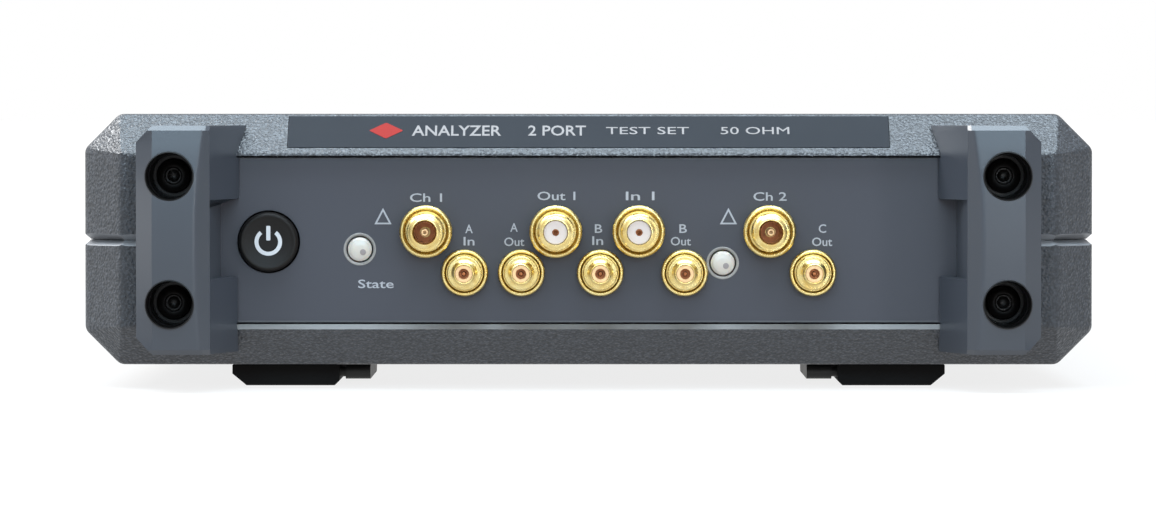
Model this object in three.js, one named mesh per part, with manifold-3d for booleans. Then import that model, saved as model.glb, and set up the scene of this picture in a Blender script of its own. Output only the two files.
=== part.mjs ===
// Compact two-port vector network analyzer: two textured half-shells, recessed front and rear
// panels, four screwed-on bumpers, feet with fold-out tilt legs, and the parts inside.
// Millimetres. X is the width, Y the depth with the front towards -Y, Z is up from the table.

import * as THREE from 'three';
import { mergeVertices } from 'three/addons/utils/BufferGeometryUtils.js';
import { ConvexGeometry } from 'three/addons/geometries/ConvexGeometry.js';
import Module from 'manifold-3d';

// ---------------------------------------------------------------- driving dimensions

const WIDTH = 177;                 // across the covers
const DEPTH = 331;                 // over the front and rear bumpers
const FOOT_HEIGHT = 3.9;           // table to the underside of the bottom cover
const BODY_HEIGHT = 44;            // over the two covers
const CORNER_CHAMFER = 6.1;        // long edges of the covers, 45 degrees
const CORNER_ROUND = 2;            // radius where a chamfer meets a flat side
const WALL = 2.4;                  // cover wall
const GAP = 0.3;                   // between pieces that touch on the real object

const BUMPER_STAND = 16;           // bumper face in front of the covers' end frame
const LIP_INSET = 7;               // how far the covers' ends slope in
const LIP_DEPTH = 8;               // over this depth
const PANEL_RECESS = 1.5;          // panel face behind the end frame
const PANEL_THICKNESS = 2.7;
const PANEL_HALF_WIDTH = 65.3;
const PANEL_HALF_HEIGHT = 14.4;
const PANEL_TAB = 2.2;             // side tabs of a panel, behind the end frame
const PANEL_TAB_THICKNESS = 1.4;

const GROOVE_HALF_HEIGHT = 1.05;   // parting groove between the covers
const GROOVE_DEPTH = 1.2;

// derived levels and stations
const HALF_WIDTH = WIDTH / 2;
const MID_Z = FOOT_HEIGHT + BODY_HEIGHT / 2;
const TOP_Z = FOOT_HEIGHT + BODY_HEIGHT;
const FACE_Y = DEPTH / 2;                        // bumper faces at -FACE_Y and +FACE_Y
const FRAME_Y = FACE_Y - BUMPER_STAND;           // covers' flat end frame
const SLOPE_Y = FRAME_Y - LIP_DEPTH;             // where the sloped lip starts
const PANEL_Y = FRAME_Y - PANEL_RECESS;          // outer face of a panel
const PANEL_BACK_Y = PANEL_Y - PANEL_THICKNESS;

// bumpers
const BUMPER_MID_Z = MID_Z + 0.3;
const BUMPER_HALF_HEIGHT = 19.7;
const BUMPER_OUTER_X = 77.8;
const BUMPER_BEVEL = 2.9;          // outer front edge and outer corners
const BUMPER_END_BEVEL = 0.85;     // top and bottom front edges
const BUMPER_WALL_FRONT_X = 65.1;  // inner wall just behind the face
const BUMPER_WALL_ROOT_X = 61.2;   // inner wall at the end frame
const BUMPER_FLARE = 0.26;         // inward run per mm of depth behind the end frame
const BUMPER_SECTIONS = 8;
const NOTCH_LOW_Z = 19.5;          // finger cut-out in the inner wall
const NOTCH_HIGH_Z = 33.1;
const NOTCH_ROOT_X = 64.1;
const NOTCH_INNER_X = 50;          // clear of the inner wall
const NOTCH_START = 2.4;           // behind the bumper's face
const BUMPER_SCREW_X = 71.9;
const BUMPER_SCREW_RISE = 11;      // screws above and below the bumper's middle
const RECESS_RADIUS = 4.25;
const RECESS_SEAT = 2.3;           // material under the screw head
const SCREW_HOLE_RADIUS = 2.05;
const SCREW_SHANK_RADIUS = 1.75;
const SCREW_HEAD_RADIUS = 3.3;
const SCREW_HEAD_LENGTH = 2.8;
const SOCKET_RADIUS = 1.75;
const SOCKET_DEPTH = 1.7;
const BUMPER_BOSS_RADIUS = 4;
const BUMPER_BOSS_LENGTH = 11.5;

// feet and tilt legs
const FOOT_INNER_X = 44;
const FOOT_OUTER_X = 62.9;
const FOOT_FRONT_Y = 136.5;
const FOOT_LENGTH = 32;
const FOOT_TOP_Z = FOOT_HEIGHT - GAP;
const LEG_INNER_X = 38.6;
const LEG_OUTER_X = 43;
const LEG_PIVOT_Y = 133;
const LEG_PIVOT_Z = 2.3;
const LEG_HALF_THICKNESS = 1.3;
const LEG_LENGTH = 29;
const TRUNNION_RADIUS = 0.9;
const TRUNNION_BORE_RADIUS = 1;
const TRUNNION_DEPTH = 2.7;
const COVER_SCREW_X = 53.4;
const COVER_SCREW_Y = 120;
const COVER_SCREW_HOLE = 1.8;
const COVER_SCREW_HOLE_DEPTH = 2;  // solid end of the top cover's bosses, under its wall
const COVER_BOSS_RADIUS = 3.8;
const BOSS_CLEARANCE_RADIUS = 4.3;
const FOOT_COUNTERBORE_RADIUS = 3.3;
const FOOT_COUNTERBORE_DEPTH = 2.2;

// controls and connectors on the front panel: place across and above the table
const BUTTON = { x: -55.8, z: 25.6, radius: 5.2 };
const BUTTON_TRAVEL = 1;
const BUTTON_STEM = 6.5;           // button's reach behind the panel face
const TAIL = 10;                   // connectors' reach behind the panel face
const LIGHTS = [
  { name: 'status_light_pipe', x: -39.9, z: 24.3 },
  { name: 'ready_light_pipe', x: 23.4, z: 21.9 },
];
const LIGHT_RADIUS = 2.2;
const LIGHT_HOLE_RADIUS = 2.75;
const UPPER_ROW_Z = 27.4;
const LOWER_ROW_Z = 20.2;
const TEST_PORTS = [
  { name: 'port_1_connector', x: -28.35 },
  { name: 'port_2_connector', x: 31.55 },
];
const LARGE_JACKS = [
  { name: 'source_out_jack', x: -5.7 },
  { name: 'receiver_in_jack', x: 8.75 },
];
const SMALL_JACKS = [
  { name: 'reference_in_jack', x: -21.6 },
  { name: 'reference_out_jack', x: -11.7 },
  { name: 'trigger_in_jack', x: 2.05 },
  { name: 'trigger_out_jack', x: 16.75 },
  { name: 'trigger_ready_jack', x: 39.1 },
];
const LARGE_THREAD_RADIUS = 3.175;
const SMALL_THREAD_RADIUS = 2.6;

// header label on the sloped front lip of the top cover
const LABEL_HALF_WIDTH = 52.3;
const LABEL_START = 1.9;           // along the slope from the lip's lower edge
const LABEL_LENGTH = 7.8;
const LABEL_THICKNESS = 0.4;
const LABEL_POCKET_DEPTH = 0.6;
const LABEL_LIFT = GAP - LABEL_POCKET_DEPTH;     // back of the label, from the slope's surface

// ledge inside each side of the bottom cover, which stands up behind the parting gap
const LEDGE = { thickness: 1.3, root: 0.5, low: 3, high: 2, clear: 6 };

// vents in the sides of both covers
const VENT_COUNT = 9;
const VENT_PITCH = 6;
const VENT_WIDTH = 2.4;
const VENT_START_Y = 66;
const VENT_LOW_RISE = 4;           // from the parting line
const VENT_HIGH_RISE = 13;

// inside
const TRAY = { x: 79, y: 134, low: 7, high: 8, flangeHigh: 12, flange: 1 };
const BOARD = { x: 76, y: 132, low: 14.3, high: 15.9 };
const BOARD_TONGUE = { left: 20, right: 62, y: 144.5 };
const STANDOFFS_X = [-66, 0, 66];
const STANDOFFS_Y = [-98, 0, 98];
const STANDOFF_RADIUS = 2.5;
const SHIELD_HEIGHT = 11;
const SHIELD_WALL = 1;
const SHIELD_Y = [-104, -24];
const SHIELDS = [
  { name: 'port_1_shield', left: -71, right: -25 },
  { name: 'source_shield', left: -21, right: 21 },
  { name: 'port_2_shield', left: 25, right: 71 },
];
const SINK = { halfWidth: 64, front: -100, back: 86, base: 3, fin: 10.5, fins: 23, finWidth: 1.4 };
const FAN_SIZE = 25;
const FAN_DEPTH = 10;
const FAN_BORE_RADIUS = 11.7;
const FAN_CENTRES_X = [-45, -15];
const FAN_FRONT_Y = PANEL_BACK_Y - GAP - FAN_DEPTH;
const FAN_HUB_RADIUS = 6.5;
const FAN_STRUT = { width: 1.6, depth: 1.4 };
const IMPELLER = { tipRadius: 11.2, blades: 7, twist: 0.55, bladeThickness: 0.7 };
const GRILLE = { rows: 5, pitch: 4, slotHeight: 2.2, rib: 1.2, reach: 11 };
const USB = { x: 28, halfWidth: 4.6, height: 3.3, length: 10, shell: 0.4 };
const USB_OPENING = { halfWidth: 5.2, height: 4.2 };
const DC = { x: 42, z: 21.7, halfWidth: 4.5, length: 12, height: 11, noseRadius: 4.2, boreRadius: 3.1 };
const DC_OPENING_RADIUS = 4.6;
const GROUND_HOLE_RADIUS = 2.3;
const CABLE_RADIUS = 1.1;
const CABLE_END = { x: 48, z: 21.5 };            // where a cable enters its shield
const CABLE_STRAIGHT = 7;
const GROUND = { x: 55, z: 21 };
const LOCK_SLOT = { x: 8, z: 18, width: 7, height: 3 };

// ---------------------------------------------------------------- solids

const wasm = await Module();
wasm.setup();

// Closed geometry to a solid: shared corners merged, zero-area triangles dropped.
function solid(geometry) {
  const bare = geometry.clone();
  bare.deleteAttribute('normal');
  bare.deleteAttribute('uv');
  const merged = mergeVertices(bare, 1e-4);
  const index = Array.from(merged.index.array);
  const kept = [];
  for (let i = 0; i < index.length; i += 3) {
    const [a, b, c] = [index[i], index[i + 1], index[i + 2]];
    if (a !== b && b !== c && c !== a) {
      kept.push(a, b, c);
    }
  }
  const position = Float32Array.from(merged.attributes.position.array);
  const triVerts = Uint32Array.from(kept);
  if (signedVolume(position, triVerts) < 0) {
    for (let i = 0; i < triVerts.length; i += 3) {
      [triVerts[i + 1], triVerts[i + 2]] = [triVerts[i + 2], triVerts[i + 1]];
    }
  }
  return new wasm.Manifold(new wasm.Mesh({ numProp: 3, vertProperties: position, triVerts }));
}

function signedVolume(position, triVerts) {
  const corner = [new THREE.Vector3(), new THREE.Vector3(), new THREE.Vector3()];
  let volume = 0;
  for (let i = 0; i < triVerts.length; i += 3) {
    corner.forEach((v, k) => v.fromArray(position, 3 * triVerts[i + k]));
    volume += corner[0].dot(corner[1].clone().cross(corner[2])) / 6;
  }
  return volume;
}

function geometryOf(body) {
  const mesh = body.getMesh();
  const geometry = new THREE.BufferGeometry();
  const position = new Float32Array(mesh.numVert * 3);
  for (let i = 0; i < mesh.numVert; i += 1) {
    for (let k = 0; k < 3; k += 1) {
      position[3 * i + k] = mesh.vertProperties[i * mesh.numProp + k];
    }
  }
  geometry.setAttribute('position', new THREE.BufferAttribute(position, 3));
  geometry.setIndex(Array.from(mesh.triVerts));
  geometry.computeVertexNormals();
  return geometry;
}

const join = (bodies) => bodies.reduce((sum, body) => sum.add(body));
const cut = (body, tools) => tools.reduce((rest, tool) => rest.subtract(tool), body);

// Box between two corners, in any order.
function box(x0, x1, y0, y1, z0, z1) {
  const geometry = new THREE.BoxGeometry(Math.abs(x1 - x0), Math.abs(y1 - y0), Math.abs(z1 - z0));
  return solid(geometry.translate((x0 + x1) / 2, (y0 + y1) / 2, (z0 + z1) / 2));
}

// Cylinders between two ends, in any order.
function cylinderX(radius, x0, x1, y, z, sides = 12) {
  const geometry = new THREE.CylinderGeometry(radius, radius, Math.abs(x1 - x0), sides);
  return solid(geometry.rotateZ(Math.PI / 2).translate((x0 + x1) / 2, y, z));
}

function cylinderY(radius, y0, y1, x, z, sides = 16) {
  const geometry = new THREE.CylinderGeometry(radius, radius, Math.abs(y1 - y0), sides);
  return solid(geometry.translate(x, (y0 + y1) / 2, z));
}

function cylinderZ(radius, z0, z1, x, y, sides = 16) {
  const geometry = new THREE.CylinderGeometry(radius, radius, Math.abs(z1 - z0), sides);
  return solid(geometry.rotateX(Math.PI / 2).translate(x, y, (z0 + z1) / 2));
}

const outline = (points) => new THREE.Shape(points.map(([u, v]) => new THREE.Vector2(u, v)));

// Outline in (y, z), carried along X.
function prismX(points, x0, x1) {
  const geometry = new THREE.ExtrudeGeometry(outline(points), { depth: x1 - x0, bevelEnabled: false });
  const turn = new THREE.Matrix4().makeBasis(
    new THREE.Vector3(0, 1, 0), new THREE.Vector3(0, 0, 1), new THREE.Vector3(1, 0, 0));
  return solid(geometry.applyMatrix4(turn).translate(x0, 0, 0));
}

// Outline in (x, z), carried along Y.
function prismY(points, y0, y1) {
  const geometry = new THREE.ExtrudeGeometry(outline(points), { depth: y1 - y0, bevelEnabled: false });
  return solid(geometry.rotateX(Math.PI / 2).translate(0, y1, 0));
}

// Outline in (x, y), carried along Z.
function prismZ(points, z0, z1) {
  const geometry = new THREE.ExtrudeGeometry(outline(points), { depth: z1 - z0, bevelEnabled: false });
  return solid(geometry.translate(0, 0, z0));
}

// Profile of (radius, y), turned about an axis along Y.
function turnedY(profile, x, z, sides = 12) {
  const points = profile.map(([r, y]) => new THREE.Vector2(r, y));
  return solid(new THREE.LatheGeometry(points, sides).translate(x, 0, z));
}

// The same with (radius, distance forward of the front panel's face).
const turnedForward = (profile, x, z, sides) => (
  turnedY(profile.map(([r, forward]) => [r, -PANEL_Y - forward]), x, z, sides));

const hull = (points) => solid(new ConvexGeometry(points.map((p) => new THREE.Vector3(...p))));

// Skin over rings of points that have the same count, closed by a cap at each end.
function loft(rings) {
  const count = rings[0].length;
  const position = rings.flat(2);
  const index = [];
  for (let r = 0; r + 1 < rings.length; r += 1) {
    for (let i = 0; i < count; i += 1) {
      const a = r * count + i;
      const b = r * count + (i + 1) % count;
      index.push(a, b, b + count, a, b + count, a + count);
    }
  }
  const flat = (ring) => ring.map(([x, y]) => new THREE.Vector2(x, y));
  const last = (rings.length - 1) * count;
  for (const [a, b, c] of THREE.ShapeUtils.triangulateShape(flat(rings[0]), [])) {
    index.push(a, c, b);
  }
  for (const [a, b, c] of THREE.ShapeUtils.triangulateShape(flat(rings[rings.length - 1]), [])) {
    index.push(last + a, last + b, last + c);
  }
  const geometry = new THREE.BufferGeometry();
  geometry.setAttribute('position', new THREE.Float32BufferAttribute(position, 3));
  geometry.setIndex(index);
  return solid(geometry);
}

// The same piece on the other side: signs are +1 or -1 for each axis.
function reflected(body, signX, signY) {
  const geometry = geometryOf(body);
  return solid(geometry.scale(signX, signY, 1));
}

// ---------------------------------------------------------------- materials and nodes

const paint = (color, roughness, metalness) => ({ color, roughness, metalness });
const FINISH = {
  cover: paint(0x5d646c, 0.7, 0.3),
  panel: paint(0x50545e, 0.55, 0.2),
  bumper: paint(0x59616b, 0.55, 0),
  blackPlastic: paint(0x1b1a1b, 0.5, 0),
  blackSteel: paint(0x1a1614, 0.35, 0.8),
  gold: paint(0xd9b46a, 0.22, 1),
  light: paint(0xe8e4dc, 0.3, 0),
  label: paint(0x545c66, 0.5, 0),
  steel: paint(0xb9bcc0, 0.35, 1),
  board: paint(0x1f5a3a, 0.5, 0),
  aluminium: paint(0xa9adb2, 0.4, 1),
  rubber: paint(0x191818, 0.8, 0),
  copper: paint(0xc58a5a, 0.3, 1),
};

const analyzer = new THREE.Group();

function node(name, body, finish) {
  const mesh = new THREE.Mesh(geometryOf(body), new THREE.MeshStandardMaterial(finish));
  mesh.name = name;
  analyzer.add(mesh);
}

// ---------------------------------------------------------------- covers

// Rounded octagon of the covers' cross-section as (x, z) points, moved in by inset.
function coverSection(inset) {
  const halfX = HALF_WIDTH - inset;
  const halfZ = BODY_HEIGHT / 2 - inset;
  const chamfer = CORNER_CHAMFER - inset * (2 - Math.SQRT2);
  const corners = [
    [halfX, halfZ - chamfer], [halfX - chamfer, halfZ],
    [chamfer - halfX, halfZ], [-halfX, halfZ - chamfer],
    [-halfX, chamfer - halfZ], [chamfer - halfX, -halfZ],
    [halfX - chamfer, -halfZ], [halfX, chamfer - halfZ],
  ].map(([x, z]) => new THREE.Vector2(x, z));
  const run = CORNER_ROUND * Math.tan(Math.PI / 8);
  const points = [];
  corners.forEach((corner, i) => {
    const before = corners[(i + 7) % 8].clone().sub(corner).normalize().multiplyScalar(run);
    const after = corners[(i + 1) % 8].clone().sub(corner).normalize().multiplyScalar(run);
    const start = corner.clone().add(before);
    const end = corner.clone().add(after);
    points.push(start, end);
  });
  return points.map((p) => [p.x, MID_Z + p.y]);
}

// Outer form of the two covers, moved in by inset: a prism whose ends slope in to a flat frame.
function coverForm(inset) {
  const slopeLength = Math.hypot(LIP_INSET, LIP_DEPTH);
  const across = LIP_DEPTH / slopeLength;
  const along = LIP_INSET / slopeLength;
  const slopeY = SLOPE_Y - inset * (1 - across) / along;
  const frameInset = LIP_INSET + inset * (1 - along) / across;
  const frameY = FRAME_Y - inset;
  const points = [];
  for (const side of [-1, 1]) {
    for (const [x, z] of coverSection(inset)) {
      points.push([x, side * slopeY, z]);
    }
    for (const x of [frameInset - HALF_WIDTH, HALF_WIDTH - frameInset]) {
      for (const rise of [frameInset - BODY_HEIGHT / 2, BODY_HEIGHT / 2 - frameInset]) {
        points.push([x, side * frameY, MID_Z + rise]);
      }
    }
  }
  return hull(points);
}

// Plan outline at the parting line, moved in by inset, at height z.
function planRing(inset, z) {
  const ring = [];
  for (const x of [-1, 1]) {
    for (const y of [-1, 1]) {
      ring.push([x * (HALF_WIDTH - inset), y * (SLOPE_Y - inset / 2), z]);
      ring.push([x * (HALF_WIDTH - LIP_INSET - inset / 2), y * (FRAME_Y - inset), z]);
    }
  }
  return ring;
}

// Ring that bevels a cover's edge so that the two covers leave a V groove between them.
// up is +1 for the top cover and -1 for the bottom cover.
function grooveCutter(up) {
  const edge = MID_Z + up * GROOVE_HALF_HEIGHT;
  const past = MID_Z - up;
  const slab = box(-WIDTH, WIDTH, -DEPTH, DEPTH, past, edge);
  const kept = hull([...planRing(0, edge), ...planRing(GROOVE_DEPTH, MID_Z)]);
  const core = hull([...planRing(GROOVE_DEPTH, MID_Z), ...planRing(GROOVE_DEPTH, past)]);
  return cut(slab, [kept, core]);
}

// Vertical slots in both sides, in the rear third of the covers.
function sideVents(up) {
  const near = MID_Z + up * VENT_LOW_RISE;
  const far = MID_Z + up * VENT_HIGH_RISE;
  const slots = [];
  for (let i = 0; i < VENT_COUNT; i += 1) {
    const y = VENT_START_Y + i * VENT_PITCH;
    slots.push(box(-WIDTH, WIDTH, y - VENT_WIDTH / 2, y + VENT_WIDTH / 2, near, far));
  }
  return slots;
}

// Opening in both end frames that a panel plugs into.
function panelOpening() {
  const x = PANEL_HALF_WIDTH + GAP;
  const z = PANEL_HALF_HEIGHT + GAP;
  return box(-x, x, -FACE_Y, FACE_Y, MID_Z - z, MID_Z + z);
}

// A cover without its openings; up is +1 for the top cover and -1 for the bottom cover.
function coverShell(up) {
  const other = box(-WIDTH, WIDTH, -DEPTH, DEPTH, MID_Z + up * GAP / 2, MID_Z - up * BODY_HEIGHT);
  return cut(coverForm(0), [coverForm(WALL), other]);
}

function cover(up) {
  const form = coverForm(0);
  const bumperScrewZ = BUMPER_MID_Z + up * BUMPER_SCREW_RISE;
  const bossStart = MID_Z + up * GAP;
  const bossEnd = MID_Z + up * (BODY_HEIGHT / 2 - 1);
  const holeEnd = up > 0 ? TOP_Z - WALL - COVER_SCREW_HOLE_DEPTH : 0;
  const bosses = [];
  const holes = [panelOpening(), grooveCutter(up), ...sideVents(up)];
  for (const side of [-1, 1]) {
    for (const end of [-1, 1]) {
      const [bumperX, bossY] = [side * BUMPER_SCREW_X, end * (FRAME_Y - BUMPER_BOSS_LENGTH)];
      const [screwX, screwY] = [side * COVER_SCREW_X, end * COVER_SCREW_Y];
      bosses.push(
        cylinderY(BUMPER_BOSS_RADIUS, bossY, end * (FRAME_Y - 1), bumperX, bumperScrewZ, 12),
        cylinderZ(COVER_BOSS_RADIUS, bossStart, bossEnd, screwX, screwY, 12));
      holes.push(
        cylinderY(SCREW_HOLE_RADIUS, bossY - end, end * FACE_Y, bumperX, bumperScrewZ, 10),
        cylinderZ(COVER_SCREW_HOLE, MID_Z, holeEnd, screwX, screwY, 10));
    }
  }
  const bossesInside = bosses.map((boss) => boss.intersect(form));
  return cut(join([coverShell(up), ...bossesInside]), holes);
}

// Point (y, z) on the top cover's sloped front lip: run along the slope, lift off its surface.
function lipPoint(run, lift) {
  const slopeLength = Math.hypot(LIP_INSET, LIP_DEPTH);
  const across = LIP_DEPTH / slopeLength;
  const up = LIP_INSET / slopeLength;
  return [-FRAME_Y + run * across - lift * up, TOP_Z - LIP_INSET + run * up + lift * across];
}

function lipBlock(start, length, low, high, halfWidth) {
  const corners = [
    lipPoint(start, low), lipPoint(start + length, low),
    lipPoint(start + length, high), lipPoint(start, high),
  ];
  return prismX(corners, -halfWidth, halfWidth);
}

function topCover() {
  const pocket = lipBlock(LABEL_START - GAP, LABEL_LENGTH + 2 * GAP, -LABEL_POCKET_DEPTH, WALL,
    LABEL_HALF_WIDTH + GAP);
  return cover(1).subtract(pocket);
}

const headerLabel = () => lipBlock(
  LABEL_START, LABEL_LENGTH, LABEL_LIFT, LABEL_LIFT + LABEL_THICKNESS, LABEL_HALF_WIDTH);

// The bottom cover has a ledge along each side that stands up behind the parting gap.
function bottomCover() {
  const wallX = HALF_WIDTH - WALL;
  const ledgeX = wallX - GAP - LEDGE.thickness;
  const [front, back] = [-SLOPE_Y + LEDGE.clear, VENT_START_Y - LEDGE.clear];
  const ledges = [];
  for (const side of [-1, 1]) {
    ledges.push(
      box(side * ledgeX, side * (wallX + LEDGE.root), front, back, MID_Z - LEDGE.low, MID_Z - GAP),
      box(side * ledgeX, side * (wallX - GAP), front, back, MID_Z - LEDGE.low, MID_Z + LEDGE.high));
  }
  return join([cover(-1), ...ledges]);
}

// ---------------------------------------------------------------- panels

// Plate with a tab at each side, which stands behind the covers' end frame.
function panelPlate() {
  const [low, high] = [MID_Z - PANEL_HALF_HEIGHT, MID_Z + PANEL_HALF_HEIGHT];
  const plate = box(-PANEL_HALF_WIDTH, PANEL_HALF_WIDTH, -PANEL_Y, -PANEL_BACK_Y, low, high);
  const tabX = PANEL_HALF_WIDTH + PANEL_TAB;
  const tabBack = -PANEL_BACK_Y + GAP;
  const tabs = box(-tabX, tabX, tabBack - PANEL_TAB_THICKNESS, tabBack, low + 1, high - 1);
  return join([plate, tabs]);
}

function frontPanel() {
  const through = (radius, x, z) => cylinderY(radius, -FACE_Y, -PANEL_BACK_Y + 2, x, z);
  const holes = [through(BUTTON.radius + GAP, BUTTON.x, BUTTON.z)];
  for (const { x, z } of LIGHTS) {
    holes.push(through(LIGHT_HOLE_RADIUS, x, z));
  }
  for (const { x } of [...TEST_PORTS, ...LARGE_JACKS]) {
    holes.push(through(LARGE_THREAD_RADIUS + GAP, x, UPPER_ROW_Z));
  }
  for (const { x } of SMALL_JACKS) {
    holes.push(through(SMALL_THREAD_RADIUS + GAP, x, LOWER_ROW_Z));
  }
  return cut(panelPlate(), holes);
}

// Slots of a round fan grille, each as long as the circle allows, either side of a rib.
function grilleSlots(x, z, y0, y1) {
  const { rows, pitch, slotHeight, rib, reach } = GRILLE;
  const slots = [];
  for (let row = 0; row < rows; row += 1) {
    const rise = (row - (rows - 1) / 2) * pitch;
    const half = Math.sqrt(reach ** 2 - (Math.abs(rise) + slotHeight / 2) ** 2);
    const [low, high] = [z + rise - slotHeight / 2, z + rise + slotHeight / 2];
    slots.push(
      box(x - half, x - rib / 2, y0, y1, low, high),
      box(x + rib / 2, x + half, y0, y1, low, high));
  }
  return slots;
}

function rearPanel() {
  const [start, end] = [PANEL_BACK_Y - 2, FACE_Y];
  const [usbLow, usbHalf] = [BOARD.high - 0.1, USB_OPENING.halfWidth];
  const slot = LOCK_SLOT;
  const holes = [
    box(USB.x - usbHalf, USB.x + usbHalf, start, end, usbLow, usbLow + USB_OPENING.height),
    cylinderY(DC_OPENING_RADIUS, start, end, DC.x, DC.z),
    cylinderY(GROUND_HOLE_RADIUS, start, end, GROUND.x, GROUND.z, 12),
    box(slot.x - slot.width / 2, slot.x + slot.width / 2, start, end,
      slot.z - slot.height / 2, slot.z + slot.height / 2),
  ];
  for (const x of FAN_CENTRES_X) {
    holes.push(...grilleSlots(x, MID_Z, start, end));
  }
  return cut(reflected(panelPlate(), 1, -1), holes);
}

// ---------------------------------------------------------------- bumpers and their screws

// Cross-section ring of the left front bumper at height z.
function bumperRing(z) {
  const rise = (z - BUMPER_MID_Z) / BUMPER_HALF_HEIGHT;
  const fromEnd = BUMPER_HALF_HEIGHT - Math.abs(z - BUMPER_MID_Z);
  const outer = BUMPER_OUTER_X - Math.max(0, BUMPER_BEVEL - fromEnd);
  const faceOuter = BUMPER_OUTER_X - BUMPER_BEVEL;
  const face = -FACE_Y + Math.max(0, BUMPER_END_BEVEL - fromEnd);
  const scallop = 0.5 + 1.8 * Math.cos(rise * Math.PI / 2) + 0.35 * (1 - rise) * Math.abs(rise);
  const back = -SLOPE_Y + 1;
  const flare = BUMPER_FLARE * (back + FRAME_Y);
  return [
    [-outer, back, z],
    [-outer, Math.max(face, -FACE_Y + outer - faceOuter), z],
    [-faceOuter, face, z],
    [-BUMPER_WALL_FRONT_X - scallop, face, z],
    [-BUMPER_WALL_FRONT_X, face + scallop, z],
    [-BUMPER_WALL_ROOT_X, -FRAME_Y, z],
    [-BUMPER_WALL_ROOT_X + flare, back, z],
  ];
}

// The block follows the covers' lips and plugs into the panel opening; its inner wall has a notch.
function leftFrontBumper() {
  const low = BUMPER_MID_Z - BUMPER_HALF_HEIGHT;
  const high = BUMPER_MID_Z + BUMPER_HALF_HEIGHT;
  const heights = [low, low + BUMPER_END_BEVEL, high - BUMPER_END_BEVEL, high];
  const [first, last] = [low + BUMPER_BEVEL, high - BUMPER_BEVEL];
  for (let i = 0; i < BUMPER_SECTIONS; i += 1) {
    heights.push(first + (last - first) * i / (BUMPER_SECTIONS - 1));
  }
  heights.sort((a, b) => a - b);
  const block = loft(heights.map(bumperRing));
  const notchFront = -FACE_Y + NOTCH_START;
  const notchBack = -FRAME_Y + 2;
  const notch = prismZ([
    [-BUMPER_WALL_FRONT_X, notchFront], [-NOTCH_ROOT_X, notchBack],
    [-NOTCH_INNER_X, notchBack], [-NOTCH_INNER_X, notchFront],
  ], NOTCH_LOW_Z, NOTCH_HIGH_Z);
  const plug = box(-PANEL_HALF_WIDTH, PANEL_HALF_WIDTH, -FACE_Y, -PANEL_Y - GAP,
    MID_Z - PANEL_HALF_HEIGHT, MID_Z + PANEL_HALF_HEIGHT);
  const holes = [coverForm(-GAP).subtract(plug), notch];
  for (const side of [-1, 1]) {
    const z = BUMPER_MID_Z + side * BUMPER_SCREW_RISE;
    const seat = -FRAME_Y - GAP - RECESS_SEAT;
    holes.push(cylinderY(RECESS_RADIUS, -FACE_Y - 1, seat, -BUMPER_SCREW_X, z, 20));
    holes.push(cylinderY(SCREW_HOLE_RADIUS, seat - 1, -FRAME_Y + 2, -BUMPER_SCREW_X, z, 10));
  }
  return cut(block, holes);
}

// Socket-head screw that lies along Y with its head towards the front.
function bumperScrew(x, z) {
  const headBack = -FRAME_Y - GAP - RECESS_SEAT - GAP;
  const headFront = headBack - SCREW_HEAD_LENGTH;
  const tip = -FRAME_Y + BUMPER_BOSS_LENGTH - 2;
  const screw = turnedY([
    [0, headFront], [SCREW_HEAD_RADIUS - 0.4, headFront], [SCREW_HEAD_RADIUS, headFront + 0.4],
    [SCREW_HEAD_RADIUS, headBack], [SCREW_SHANK_RADIUS, headBack], [SCREW_SHANK_RADIUS, tip - 0.8],
    [1, tip], [0, tip],
  ], x, z);
  return screw.subtract(cylinderY(SOCKET_RADIUS, headFront - 1, headFront + SOCKET_DEPTH, x, z, 6));
}

// ---------------------------------------------------------------- front controls

// Dished cap with a flange behind the panel, and a stem.
function powerButton() {
  const { x, z, radius } = BUTTON;
  const [flangeFront, flangeBack] = [-3, -4];
  const profile = [
    [0, 1.1], [2.6, 1.22], [4.2, 1.5], [4.7, 1.6], [radius, 1.2], [radius, flangeFront],
    [radius + 1, flangeFront], [radius + 1, flangeBack], [1.8, flangeBack],
    [1.8, -BUTTON_STEM], [0, -BUTTON_STEM],
  ];
  return turnedForward(profile, x, z, 24);
}

// Switch body on a small bracket behind the button.
function powerSwitch() {
  const { x, z } = BUTTON;
  const front = -PANEL_Y + BUTTON_STEM + BUTTON_TRAVEL + GAP;
  const [bodyFront, bodyBack] = [front + 1, front + 5];
  const body = box(x - 3, x + 3, bodyFront, bodyBack, z - 3, z + 3);
  const plunger = cylinderY(1.6, front, bodyFront + 1, x, z, 12);
  const post = box(x - 1.5, x + 1.5, bodyBack - 2, bodyBack, BOARD.high + GAP, z);
  return join([body, plunger, post]);
}

function lightPipe(x, z) {
  const r = LIGHT_RADIUS;
  const profile = [
    [0, 0.55], [0.9, 0.48], [1.6, 0.25], [r, -0.15], [r, -3.2], [r + 1, -3.2], [r + 1, -4], [1.2, -4],
    [1.2, -9], [0, -9],
  ];
  return turnedForward(profile, x, z);
}

// Test port: threaded barrel with an open, air-filled bore and a centre contact.
function testPort(x) {
  const t = LARGE_THREAD_RADIUS;
  const profile = [
    [0, 9.1], [0.35, 9.1], [0.76, 8.8], [0.76, 5.2], [1.75, 5.2], [1.75, 9.6], [2.3, 9.6], [t, 8.9],
    [t, 2.3], [3.7, 1.9], [4.2, 2.5], [4.55, 2.3], [4.55, GAP], [t, GAP],
    [t, -3], [4.3, -3], [4.3, -5], [2, -5], [2, -TAIL], [0, -TAIL],
  ];
  return turnedForward(profile, x, UPPER_ROW_Z);
}

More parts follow.
